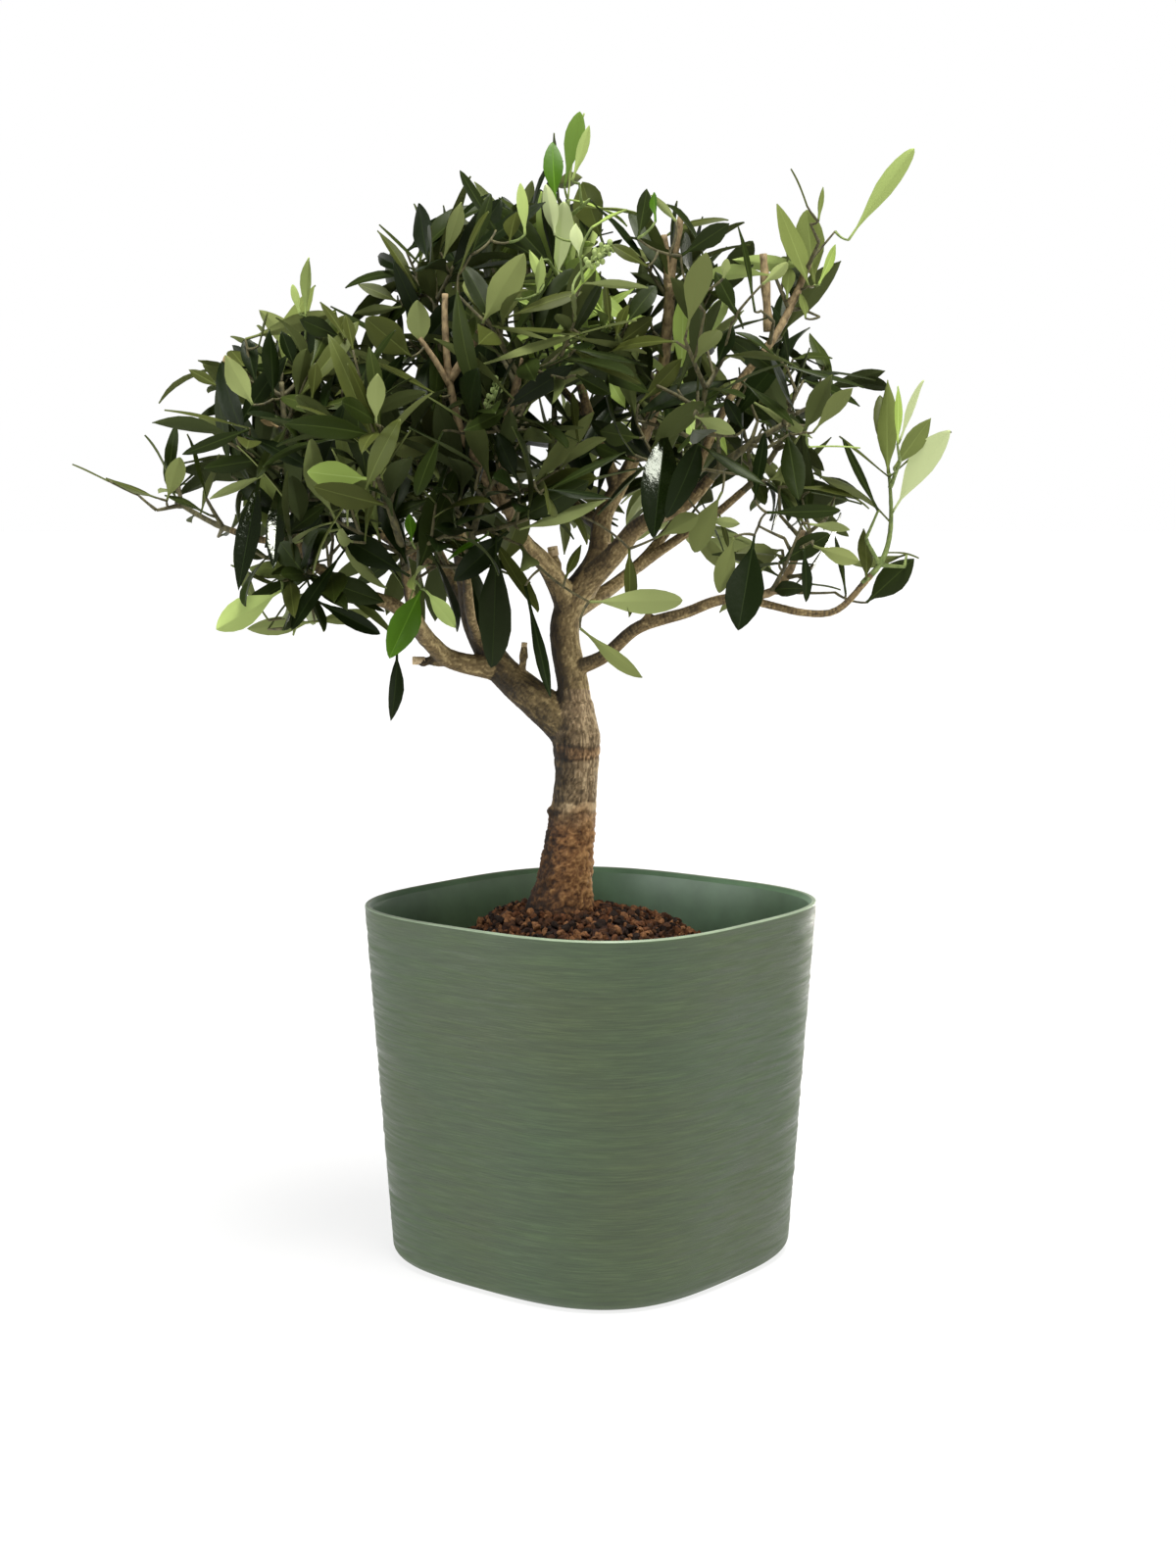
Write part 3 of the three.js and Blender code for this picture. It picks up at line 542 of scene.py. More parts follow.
# Crown's outline in the photograph, its gaps as pixel and radius, and the limbs that show between the leaves
OUTLINE = [
    (100, 480), (150, 425), (185, 365), (240, 335), (262, 310), (295, 250), (318, 250), (335, 290),
    (372, 275), (385, 228), (420, 198), (468, 168), (500, 190), (530, 180), (560, 140), (590, 105),
    (612, 130), (610, 190), (645, 215), (660, 188), (690, 200), (720, 220), (760, 225), (790, 202),
    (815, 165), (840, 185), (860, 240), (925, 142), (935, 160), (870, 250), (840, 310), (885, 375),
    (905, 378), (945, 378), (975, 435), (915, 525), (942, 570), (885, 635), (800, 620), (765, 648),
    (740, 640), (660, 700), (600, 660), (560, 700), (510, 690), (425, 690), (412, 742), (395, 735),
    (390, 670), (300, 650), (215, 648), (235, 590), (165, 522),
]
SKY = np.array([
    (630, 715, 25), (675, 665, 24), (685, 578, 22), (710, 592, 14), (700, 643, 12), (621, 637, 9),
    (438, 707, 23), (364, 651, 12), (212, 563, 18), (229, 516, 11), (219, 455, 9), (134, 472, 15),
    (200, 407, 13), (284, 304, 12), (356, 260, 18), (448, 190, 16), (538, 172, 12), (628, 270, 12),
    (637, 200, 10), (772, 212, 12), (800, 186, 13), (856, 214, 15), (875, 349, 22), (842, 342, 9),
    (741, 265, 5), (790, 287, 6), (787, 303, 5), (776, 250, 6), (745, 376, 9), (737, 424, 8), (772, 438, 7),
    (789, 460, 10), (822, 403, 9), (845, 425, 14), (856, 470, 17), (874, 431, 14), (885, 482, 10),
    (730, 470, 5), (752, 495, 7), (757, 521, 8), (797, 538, 6), (806, 585, 7), (843, 580, 8), (846, 606, 7),
    (870, 525, 9), (640, 575, 9), (838, 550, 5), (757, 548, 5), (905, 545, 10), (935, 530, 15),
    (352, 378, 4), (367, 346, 5), (424, 378, 4), (446, 434, 4), (401, 490, 4), (529, 322, 4), (515, 343, 5),
    (515, 382, 5), (548, 420, 7), (546, 459, 6), (595, 403, 8), (564, 420, 6), (518, 522, 5), (560, 540, 9),
    (567, 564, 7), (341, 560, 7), (322, 532, 4), (396, 546, 6), (448, 571, 4), (601, 571, 6), (441, 603, 5),
    (557, 599, 6), (539, 624, 7),
])
SHOWING = {
    "leader": (0.2, 1), "left": (0.15, 0.8), "left_low": (0.1, 0.75), "right_low": (0.12, 0.8),
    "right": (0.05, 0.6), "right_up": (0.05, 0.5), "front": (0.1, 0.5), "right_high": (0.3, 0.9),
    "right_tip": (0.2, 1),
}
SHOWING_POINTS = 14
SHOWING_STEMS = {"upper_right": (0.3, 0.9), "left_tip": (0, 0.7)}
SHOWING_STEM_POINTS = 10

# Looks: tones are display colours at places along a factor, a grain or pattern is a noise's scale along each
# axis per metre, detail and roughness, and a bump is its strength and its distance in metres
NOISE_SPAN = (0.3, 0.7)
MIX_INPUTS = (0, 6, 7)
MIX_OUTPUT = 2
BRUSHED = {
    "plain": ((98, 122, 98), 0.5),
    "patterns": [((22, 22, 420), 5, 0.65), ((60, 60, 1700), 4, 0.65), ((11, 11, 14), 3)],
    "streak_tones": [(0.3, (54, 66, 46)), (0.5, (69, 83, 58)), (0.7, (89, 104, 75))],
    "drift_tones": [(0.3, (243, 255, 250)), (0.7, (255, 251, 240))],
    "roughness": (0.25, 0.75),
    "bump": (0.3, 0.0012),
}
SMOOTH = {
    # The rim's paler sage is a painted highlight along the pot's top edge
    "looks": {"rim_sage_highlight": ((142, 158, 132), 0.4), "inner_sage": ((102, 131, 101), 0.4)},
    "mottle": ((60, 60, 60), 3),
    "shades": (0.94, 1.05),
    "pores": ((900, 900, 900), 2),
    "bump": (0.06, 0.0005),
}
BARK = {
    "plain": ((140, 122, 96), 0.85),
    "grain": ((700, 700, 500), 4, 0.65),
    "grain_share": 0.3,
    "upper_tones": [
        (0.16, (34, 26, 17)), (0.38, (89, 73, 50)), (0.54, (139, 117, 86)), (0.76, (218, 193, 153)),
    ],
    "foot_tones": [
        (0.18, (24, 14, 7)), (0.38, (78, 50, 28)), (0.54, (138, 96, 57)), (0.76, (206, 157, 101)),
    ],
    "stain_and_shade_tones": [(0.0, (124, 118, 96)), (0.6, (255, 255, 255))],
    "bough_tones": [(0.0, (255, 255, 255)), (1.0, (238, 240, 218))],
    "roughness": (0.72, 0.95),
    "bump": (0.5, 0.0012),
}
TWIG_GRAIN = {
    "roughness": 0.75, "grain": ((420, 420, 260), 4, 0.6), "span": (0.3, 0.68), "bump": (0.4, 0.0008),
}
WOOD_TONES = {
    # Stems in their own tan, made paler as painted light
    "lit_stem_bark": ((88, 72, 47), (166, 144, 104)),
    "green_twig": ((90, 108, 52), (136, 152, 86)),
    "cut_wood": ((168, 142, 104), (222, 200, 160)),
    "young_twig": ((50, 48, 28), (104, 98, 62)),
}
GREEN_STEMS = ("right_tip", "top")
GREEN_TINTS = ("fresh", "bright", "pale")
BUD_TONES = ((126, 146, 78), (176, 192, 122))
STONE_GRAIN = {
    "roughness": 0.9, "grain": ((500, 500, 500), 4, 0.65), "span": (0.3, 0.66), "bump": (0.6, 0.001),
}
SOIL_TONES = ((26, 16, 12), (70, 42, 32))
GRANULE_TONES = [
    ((55, 31, 15), (130, 80, 44)), ((39, 23, 13), (97, 60, 33)), ((84, 52, 30), (170, 118, 75)),
    ((19, 11, 7), (50, 30, 18)),
]

# Studio, in metres: floor, sky by height, sun, and area lights as place, aim, size, power and colour
FLOOR_HALF = 30
FLOOR_FINISH = ((110, 110, 110), 0.9)
FLOOR_GLOW = 0.82
SKY_TONES = [(0.0, (255, 255, 255)), (0.2, (255, 255, 255)), (0.32, (88, 87, 84))]
SUN = {
    "power": 4.3,
    "angle": math.radians(28),
    "colour": (1, 0.985, 0.96),
    "turn": (math.radians(8), math.radians(6), 0),
}
LIGHTS = {
    "left": ((-1.5, -0.5, 0.6), (0, 0, 0.1), 0.7, 7.8, (0.95, 1, 0.99)),
    "right": ((1.5, -0.6, 1.0), (0, 0, 0.35), 0.7, 2.5, (1, 0.94, 0.7)),
    "front": ((0.25, -0.85, 2.0), (0, 0, 0.42), 0.8, 18, (1, 1, 1)),
    "edge": ((0.8, 1.2, 0.12), (0.1, 0, 0.1), 0.25, 8, (1, 0.98, 0.88)),
}


def linear(colour):
    """Linear colour of a display colour from 0 to 255"""
    share = np.array(colour) / 255
    return (*np.where(share <= 0.04045, share / 12.92, ((share + 0.055) / 1.055) ** 2.4), 1)


def unit(direction):
    return direction / np.linalg.norm(direction)


def mix(low, high, share):
    return low + (high - low) * share


def smoothstep(low, high, value):
    share = np.clip((value - low) / (high - low), 0, 1)
    return share * share * (3 - 2 * share)


# Random numbers


def seeded(seed):
    """Random numbers from 0 to 1, the same as in the solids"""
    state = seed

    def draw():
        nonlocal state
        state = (state + 0x6D2B79F5) & MASK
        mixed = ((state ^ (state >> 15)) * (state | 1)) & MASK
        mixed ^= (mixed + (mixed ^ (mixed >> 7)) * (mixed | 61)) & MASK
        return (mixed ^ (mixed >> 14)) / 4294967296

    return draw


def between(draw, span):
    return mix(span[0], span[1], draw())


def slopes_at(cells, seed):
    """One of twelve slopes, dealt out at random to each corner of a lattice"""
    keys = cells.astype(np.int64) * np.array([374761393, 668265263, 2147483629])
    mixed = (keys.sum(axis=-1) + seed * 1442695041) & MASK
    mixed = ((mixed ^ (mixed >> 13)) * 1274126177) & MASK
    return SLOPES[((mixed ^ (mixed >> 16)) & 0xFFFF) % len(SLOPES)]


def noise(points, seed):
    """Smooth noise from about -1 to 1"""
    cells = np.floor(points)
    part = points - cells
    ease = part**3 * (part * (part * 6 - 15) + 10)
    total = np.zeros(len(points))
    for corner in np.ndindex(2, 2, 2):
        weight = np.prod(np.where(corner, ease, 1 - ease), axis=1)
        total += weight * ((part - corner) * slopes_at(cells + corner, seed)).sum(axis=1)
    return 1.5 * total


def layered(points, layers):
    """Sum of noises, each with its cell size, seed and strength"""
    return sum(strength * noise(points / size, seed) for size, seed, strength in layers)


# Curves


class Line:
    """Curve through finely spaced points, read by its share of length"""

    def __init__(self, points):
        self.points = points
        steps = np.linalg.norm(np.diff(points, axis=0), axis=1)
        self.run = np.concatenate(([0], np.cumsum(steps)))
        self.length = self.run[-1]

    def at(self, share):
        place = np.asarray(share) * self.length
        return np.stack([np.interp(place, self.run, self.points[:, axis]) for axis in range(3)], axis=-1)

    def heading(self, share):
        return unit(self.at(min(share + HEADING_STEP, 1)) - self.at(max(share - HEADING_STEP, 0)))


def bezier(*handles):
    """Line of a Bezier curve with any number of handles"""
    shares = np.linspace(0, 1, CURVE_POINTS)[:, None]
    order = len(handles) - 1
    points = np.zeros((CURVE_POINTS, 3))
    for place, handle in enumerate(handles):
        weight = math.comb(order, place) * shares**place * (1 - shares) ** (order - place)
        points += weight * np.asarray(handle)
    return Line(points)


def through(path):
    """Smooth line through points, with steps that follow the square root of their spacing"""
    knots = np.array(path, float)
    knots = np.vstack([2 * knots[0] - knots[1], knots, 2 * knots[-1] - knots[-2]])
    share = np.linspace(0, 1, SPAN_POINTS)[:, None]
    pieces = []
    for step in range(1, len(knots) - 2):
        before, start, end, after = knots[step - 1 : step + 3]
        gaps = [np.linalg.norm(b - a) ** 0.5 for a, b in ((before, start), (start, end), (end, after))]
        leave = (start - before) / gaps[0] - (end - before) / (gaps[0] + gaps[1]) + (end - start) / gaps[1]
        arrive = (end - start) / gaps[1] - (after - start) / (gaps[1] + gaps[2]) + (after - end) / gaps[2]
        leave, arrive = leave * gaps[1], arrive * gaps[1]
        bend = -3 * start + 3 * end - 2 * leave - arrive
        twist = 2 * start - 2 * end + leave + arrive
        span = start + share * (leave + share * (bend + share * twist))
        pieces.append(span[:-1])
    pieces.append(knots[-2:-1])
    return Line(np.vstack(pieces))


def frames_of(line, shares):
    """Points of a line with two directions square to it that turn as little as they can"""
    headings = np.array([line.heading(share) for share in shares])
    first = sides_of(headings[0])[0]
    firsts = []
    for heading in headings:
        first = unit(first - heading * first.dot(heading))
        firsts.append(first)
    firsts = np.array(firsts)
    return line.at(shares), firsts, np.cross(headings, firsts)


# Directions


def sides_of(heading):
    """Two directions square to a heading and to each other"""
    reference = np.array([1.0, 0, 0]) if abs(heading[2]) > STEEP else UP
    first = unit(np.cross(heading, reference))
    return first, np.cross(heading, first)


def turned(heading, angle):
    first, second = sides_of(heading)
    return first * math.cos(angle) + second * math.sin(angle)


def opened(heading, out, angle):
    return heading * math.cos(angle) + out * math.sin(angle)


def sight(pixel):
    """Direction from the eye through a pixel of the photograph, one unit forward"""
    across = (pixel[0] - PHOTO[0] / 2) / FOCAL
    rise = (PHOTO[1] / 2 - pixel[1]) / FOCAL
    forward = np.array([0, math.cos(TILT), -math.sin(TILT)])
    upward = np.array([0, math.sin(TILT), math.cos(TILT)])
    return forward + across * np.array([1.0, 0, 0]) + rise * upward


def pixels(points):
    """Pixels of the photograph at which points show"""
    out = np.asarray(points) - EYE
    forward = out[:, 1] * math.cos(TILT) - out[:, 2] * math.sin(TILT)
    rise = out[:, 1] * math.sin(TILT) + out[:, 2] * math.cos(TILT)
    across, up = FOCAL * out[:, 0] / forward, FOCAL * rise / forward
    return np.stack([PHOTO[0] / 2 + across, PHOTO[1] / 2 - up], axis=1)


def inside(spots, outline):
    """Whether each spot of a picture is inside an outline"""
    result = np.zeros(len(spots), bool)
    for (ax, ay), (bx, by) in zip(outline, outline[1:] + outline[:1]):
        level = (spots[:, 1] < ay) != (spots[:, 1] < by)
        reach = ax + (bx - ax) * (spots[:, 1] - ay) / (by - ay if by != ay else 1)
        result ^= level & (spots[:, 0] < reach)
    return result


# Meshes


class Pile:
    """Corners and faces gathered into one mesh"""

    def __init__(self):
        self.spots = []
        self.faces = []
        self.slots = []
        self.count = 0

    def add(self, spots, faces, slots=0):
        self.faces.extend([[corner + self.count for corner in face] for face in faces])
        self.slots.extend([slots] * len(faces) if isinstance(slots, int) else slots)
        self.spots.append(spots)
        self.count += len(spots)

    def mesh(self, name):
        mesh = bpy.data.meshes.new(name)
        mesh.from_pydata(np.vstack(self.spots) * MM, [], self.faces)
        mesh.polygons.foreach_set("material_index", self.slots)
        mesh.shade_smooth()
        mesh.update()
        return mesh


def placed(name, data):
    """Object of a mesh, a lamp or a camera, put in the scene"""
    made = bpy.data.objects.new(name, data)
    bpy.context.scene.collection.objects.link(made)
    return made


def piece_of(mesh, materials):
    """Object of a mesh that rides on the part and takes the materials given"""
    piece = placed(mesh.name, mesh)
    for material in materials:
        mesh.materials.append(material)
    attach(piece, "root")
    return piece


def read(items, field, width, kind=float):
    """Values of a field for every corner or edge of a mesh, a row to each"""
    values = np.empty(len(items) * width, kind)
    items.foreach_get(field, values)
    return values.reshape(-1, width)


def circle(sides):
    """Angles evenly round a circle"""
    return np.arange(sides) * 2 * math.pi / sides


def closed_faces(rows, columns):
    """Faces of rows that close on themselves, then the first and the last row as flat ends"""
    faces = []
    for row in range(rows - 1):
        for column in range(columns):
            after = (column + 1) % columns
            low, high = row * columns, (row + 1) * columns
            faces.append([low + column, low + after, high + after, high + column])
    last = (rows - 1) * columns
    return faces + [list(range(columns))[::-1], list(range(last, last + columns))]


def tube(line, radius_at, sides, rings):
    """Closed tube along a line, as corners and faces with the two ends last"""
    shares = np.linspace(0, 1, rings + 1)
    points, firsts, seconds = frames_of(line, shares)
    angles = circle(sides)[None, :, None]
    radii = np.array([radius_at(share) for share in shares])[:, None, None]
    out = np.cos(angles) * firsts[:, None] + np.sin(angles) * seconds[:, None]
    spots = (points[:, None] + radii * out).reshape(-1, 3)
    return spots, closed_faces(rings + 1, sides)


# Materials


class Look:
    """Shader of a material or of the sky, with the nodes that feed it"""

    def __init__(self, holder, shader):
        holder.use_nodes = True
        self.holder = holder
        self.nodes = holder.node_tree.nodes
        self.links = holder.node_tree.links
        self.shader = self.nodes[shader]

    def join(self, value, socket):
        """Sets a plain value on a socket, or wires another node's output into it"""
        if isinstance(value, bpy.types.NodeSocket):
            self.links.new(value, socket)
        else:
            socket.default_value = value

    def put(self, name, value):
        self.join(value, self.shader.inputs[name])

    def node(self, kind, **values):
        """Node of a kind, with its inputs by name"""
        made = self.nodes.new(kind)
        for name, value in values.items():
            self.join(value, made.inputs[name])
        return made

    def noise(self, scale, detail=3, roughness=0.55):
        """Noise placed in the part's own space, with a scale along each axis per metre"""
        place = self.node("ShaderNodeTexCoord").outputs["Object"]
        stretched = self.node("ShaderNodeMapping", Vector=place, Scale=scale).outputs["Vector"]
        pattern = {"Scale": 1, "Detail": detail, "Roughness": roughness}
        return self.node("ShaderNodeTexNoise", Vector=stretched, **pattern).outputs["Fac"]

    def ramp(self, factor, stops):
        """Colours at places along a factor"""
        made = self.node("ShaderNodeValToRGB", Fac=factor)
        steps = made.color_ramp.elements
        while len(steps) < len(stops):
            steps.new(0.5)
        for step, (place, colour) in zip(steps, stops):
            step.position = place
            step.color = linear(colour)
        return made.outputs["Color"]

    def spread(self, factor, low, high):
        """Factor mapped from a noise's usual span onto another"""
        ends = zip(("From Min", "From Max", "To Min", "To Max"), (*NOISE_SPAN, low, high))
        return self.node("ShaderNodeMapRange", Value=factor, **dict(ends)).outputs["Result"]

    def bump(self, height, strength, distance):
        made = self.node("ShaderNodeBump", Height=height, Strength=strength, Distance=distance)
        self.put("Normal", made.outputs["Normal"])

    def blend(self, factor, first, second, kind="MIX"):
        """Two colours mixed by a factor"""
        made = self.node("ShaderNodeMix")
        made.data_type = "RGBA"
        made.blend_type = kind
        for value, place in zip((factor, first, second), MIX_INPUTS):
            self.join(value, made.inputs[place])
        return made.outputs[MIX_OUTPUT]


def finish(name, colour, roughness):
    """Look of a new material in one plain colour"""
    look = Look(bpy.data.materials.new(name), "Principled BSDF")
    look.put("Base Color", linear(colour))
    look.put("Roughness", roughness)
    return look


def brushed_plastic():
    look = finish("brushed_sage", *BRUSHED["plain"])
    wide, fine, drift = [look.noise(*pattern) for pattern in BRUSHED["patterns"]]
    streaks = look.blend(0.5, wide, fine)
    tone = look.ramp(streaks, BRUSHED["streak_tones"])
    warm = look.ramp(drift, BRUSHED["drift_tones"])
    look.put("Base Color", look.blend(1.0, tone, warm, "MULTIPLY"))
    look.put("Roughness", look.spread(wide, *BRUSHED["roughness"]))
    look.bump(streaks, *BRUSHED["bump"])
    return look.holder


def smooth_plastic(name, colour, roughness):
    look = finish(name, colour, roughness)
    shades = [[min(255, shade * part) for part in colour] for shade in SMOOTH["shades"]]
    look.put("Base Color", look.ramp(look.noise(*SMOOTH["mottle"]), list(zip(NOISE_SPAN, shades))))
    look.bump(look.noise(*SMOOTH["pores"]), *SMOOTH["bump"])
    return look.holder


def bark():
    """Bark whose colour follows its relief and its height up the trunk, darkened by stains and painted shade
    """
    look = finish("bark", *BARK["plain"])
    made = look.node("ShaderNodeAttribute")
    made.attribute_name = "bark"
    parts = look.node("ShaderNodeSeparateColor", Color=made.outputs["Color"]).outputs
    grain = look.noise(*BARK["grain"])
    relief = look.blend(BARK["grain_share"], parts["Red"], grain)
    upper, lower = look.ramp(relief, BARK["upper_tones"]), look.ramp(relief, BARK["foot_tones"])
    tone = look.blend(parts["Green"], upper, lower)
    # Stains together with painted shade, as a darkening of the bark's colour
    stain_and_shade = look.ramp(parts["Blue"], BARK["stain_and_shade_tones"])
    young = look.ramp(made.outputs["Alpha"], BARK["bough_tones"])
    stained_and_shaded = look.blend(1.0, tone, stain_and_shade, "MULTIPLY")
    look.put("Base Color", look.blend(1.0, stained_and_shaded, young, "MULTIPLY"))
    look.put("Roughness", look.spread(grain, *BARK["roughness"]))
    look.bump(grain, *BARK["bump"])
    return look.holder


def grained(name, dark, light, kind):
    """Twig bark or stone with a fine grain between two colours"""
    look = finish(name, light, kind["roughness"])
    grain = look.noise(*kind["grain"])
    look.put("Base Color", look.ramp(grain, list(zip(kind["span"], (dark, light)))))
    look.bump(grain, *kind["bump"])
    return look.holder


def leaf_face(name, colour, roughness, shine, grain):
    """Leaf surface in one plain colour, with a fine grain that breaks up its gloss"""
    look = finish(name, colour, roughness)
    look.put("Specular IOR Level", shine)
    look.put("Specular Tint", SHINE_TINT)
    if grain:
        look.bump(look.noise(*LEAF_GRAIN), grain, LEAF_GRAIN_DEPTH)
    return look.holder


# Pot and soil


def square_radius(angles):
    """Distance of the pot's wall from its axis at an angle, for a half width of one"""
    power = POT["squareness"]
    angles = angles - POT["turn"]
    return (np.abs(np.cos(angles)) ** power + np.abs(np.sin(angles)) ** power) ** (-1 / power)


def outer_half(height):
    return mix(POT["base"], POT["top"], height / POT["height"])


def pot_rows():
    """Rows of the pot's section, from the underside over the rim to the floor: half width, height, slot"""
    foot, lip, wall, height = POT["foot_round"], POT["lip_round"], POT["wall"], POT["height"]
    rows = [(outer_half(0) * share, 0, OUTSIDE) for share in END_SHARES]
    for turn in np.linspace(0, math.pi / 2, FOOT_ROWS):
        rows.append((outer_half(foot) - foot * (1 - math.sin(turn)), foot * (1 - math.cos(turn)), OUTSIDE))
    for rise in np.linspace(foot, height - lip, WALL_ROWS)[1:-1]:
        rows.append((outer_half(rise), rise, OUTSIDE))
    rim = outer_half(height)
    # The top of the lip and the rim's flat take the rim's paler sage, a painted highlight
    for turn in np.linspace(0, math.pi / 2, LIP_ROWS):
        slot = OUTSIDE if turn < LIP_EDGE else HIGHLIGHT_RIM
        rows.append((rim - lip * (1 - math.cos(turn)), height - lip * (1 - math.sin(turn)), slot))
    rows.append((rim - RIM_FLAT, height, HIGHLIGHT_RIM))
    for number, (depth, thickness) in enumerate(POT["inner"]):
        rows.append((outer_half(height - depth) - thickness, height - depth, INSIDE if number else HIGHLIGHT_RIM))
    for rise in np.linspace(height - INSIDE_TOP, POT["floor"], INSIDE_ROWS):
        rows.append((outer_half(rise) - wall, rise, INSIDE))
    rows.append((outer_half(0) * END_SHARES[0], POT["floor"], INSIDE))
    return rows


def pot_mesh():
    rows = pot_rows()
    angles = circle(POT_SEGMENTS)
    ring = np.stack([np.cos(angles), np.sin(angles)], axis=1) * square_radius(angles)[:, None]
    spots = np.array([[*(half * spot), height] for half, height, _ in rows for spot in ring])
    row_slots = np.array([slot for _, _, slot in rows])
    below_rim = POT["height"] - spots[:, 2]
    strength = np.repeat(row_slots == OUTSIDE, POT_SEGMENTS) * smoothstep(*STROKES_START, spots[:, 2])
    strength = strength * smoothstep(*STROKES_END, below_rim)
    spots[:, :2] *= 1 + (STROKE_RELIEF * strength * layered(spots, STROKES) / POT["top"])[:, None]
    pile = Pile()
    slots = np.repeat(row_slots[1:], POT_SEGMENTS).tolist()
    pile.add(spots, closed_faces(len(rows), POT_SEGMENTS), slots + [OUTSIDE, INSIDE])
    return pile.mesh("pot_body")


def soil_spot(radius, angle):
    """Point of the soil's surface at a distance along it from the trunk's foot, and the soil's half width"""
    inner = outer_half(SOIL["edge"]) - POT["wall"] - GAP
    seat, shoulder = SOIL["seat"], SOIL["shoulder"]
    middle = (mix(shoulder[0], seat[0], 0.5), mix(shoulder[1], seat[1], SOIL["bulge"]))
    edge = (inner - SOIL["inset"], SOIL["edge"] + SOIL["inset"] / 3)
    knots = np.array([(0, seat[1]), seat, middle, shoulder, edge, (inner, SOIL["edge"])])
    height = np.interp(radius, knots[:, 0], knots[:, 1])
    mound = smoothstep(SOIL["edge"] + SOIL["inset"], shoulder[1], height)
    scale = mix(square_radius(np.asarray(angle)), 1, mound)
    shift = mix(SOIL["centre"], TRUNK["path"][0][0], smoothstep(shoulder[1], seat[1], height)) * mound
    spot = [radius * np.cos(angle) * scale + shift, radius * np.sin(angle) * scale, height]
    return np.stack(spot, axis=-1), inner


def soil_mesh():
    """Rough bed of the soil, closed down to the pot's floor"""
    inner = soil_spot(0.0, 0.0)[1]
    angles = circle(SOIL_SIDES)
    radii = np.linspace(1, inner, SOIL_ROWS)
    rows = [soil_spot(np.full(SOIL_SIDES, radius), angles)[0] for radius in radii]
    spots = np.vstack(rows)
    spots[:, 2] += layered(spots, SOIL_LUMPS) - SOIL_SINK
    base = rows[-1] * (POT["base"] - POT["wall"] - 1) / inner
    base[:, 2] = POT["floor"] + GAP
    pile = Pile()
    faces = closed_faces(SOIL_ROWS + 1, SOIL_SIDES)
    pile.add(np.vstack([spots, base]), [face[::-1] for face in faces])
    return pile.mesh("soil_bed")


def pebble_form():
    """Corners and faces of a ball of twenty triangles, each cut in four"""
    golden = (1 + 5**0.5) / 2
    corners = [(-1, golden, 0), (1, golden, 0), (-1, -golden, 0), (1, -golden, 0)]
    corners = corners + [(z, x, y) for x, y, z in corners] + [(y, z, x) for x, y, z in corners]
    spots = [unit(np.array(corner, float)) for corner in corners]
    halves, faces = {}, []

    def half(a, b):
        key = (min(a, b), max(a, b))
        if key not in halves:
            halves[key] = len(spots)
            spots.append(unit(spots[a] + spots[b]))
        return halves[key]

    def apart(a, b):
        return np.linalg.norm(spots[a] - spots[b])

    for a, b, c in combinations(range(len(corners)), 3):
        if max(apart(a, b), apart(b, c), apart(a, c)) > PEBBLE_EDGE:
            continue
        if np.dot(np.cross(spots[b] - spots[a], spots[c] - spots[a]), spots[a]) < 0:
            b, c = c, b
        ab, bc, ca = half(a, b), half(b, c), half(c, a)
        faces += [(a, ab, ca), (ab, b, bc), (ca, bc, c), (ab, bc, ca)]
    return np.array(spots), faces


def crumb(ball, random):
    """Corners of one granule: a rough ball cut flat on several sides"""
    lumps = noise(ball * CRUMB["pace"] + random.uniform(0, CRUMB["field"], 3), CRUMB["seed"])
    spots = ball * (1 + CRUMB["lumps"] * lumps)[:, None]
    for _ in range(CRUMB["cuts"]):
        side = unit(random.normal(size=3))
        proud = np.clip(spots @ side - random.uniform(*CRUMB["cut_depth"]), 0, None)
        spots = spots - proud[:, None] * side
    return spots * random.uniform(*CRUMB["stretch"], 3)


def granule_mesh():
    """Granules of the soil, each a rough crumb half sunk in the bed"""
    random = np.random.default_rng(GRANULE_SEED)
    ball, faces = pebble_form()
    reach = soil_spot(0.0, 0.0)[1] * GRANULE_REACH
    pile = Pile()
    centres = np.zeros((0, 3))
    for _ in range(GRANULES * GRANULE_TRIES):
        radius = reach * random.random() ** GRANULE_CROWDING
        spot = soil_spot(radius, random.random() * 2 * math.pi)[0]
        if len(centres) and np.linalg.norm(centres - spot, axis=1).min() < GRANULE_SPACING:
            continue
        centres = np.vstack([centres, spot])
        axes = np.linalg.qr(random.normal(size=(3, 3)))[0]
        size = random.uniform(*GRANULE_SIZE)
        lift = random.uniform(*GRANULE_LIFT)
        spots = crumb(ball, random) @ axes * size + spot + UP * lift
        pile.add(spots, faces, int(random.integers(0, len(GRANULE_TONES))))
        if len(centres) >= GRANULES:
            break
    mesh = pile.mesh("soil_granules")
    mesh.shade_flat()
    return mesh


# Bark


def limb_radius(radii, share):
    return np.interp(share, np.linspace(0, 1, len(radii)), radii)


def limbs():
    """Every limb as a line with its radii"""
    made = {"trunk": (through(TRUNK["path"]), TRUNK["radii"])}
    for name, (path, root, tip) in BOUGHS.items():
        made[name] = (through(path), (root, tip))
    return made


def swollen(line, radii, swelling):
    """Radius along a limb that is thicker by a share at its root"""

    def radius_at(share):
        return limb_radius(radii, share) * (1 + swelling * math.exp(-share * line.length / SWELLING_RUN))

    return radius_at


def knobbed(first, last, share):
    """Radius along a cut stub, uneven as old wood is"""
    return mix(first, last, share) * (1 + STUB_KNOBS * math.sin(share * STUB_WAVES + STUB_PHASE * first))


def ball_tube(centre, radius):
    """Small lump as a short rounded tube"""
    line = bezier(np.array(centre) - UP * radius, np.array(centre) + UP * radius)

    def radius_at(share):
        return radius * math.sqrt(max(LUMP_END, 1 - (2 * share - 1) ** 2))

    return tube(line, radius_at, *LUMP_TUBE)


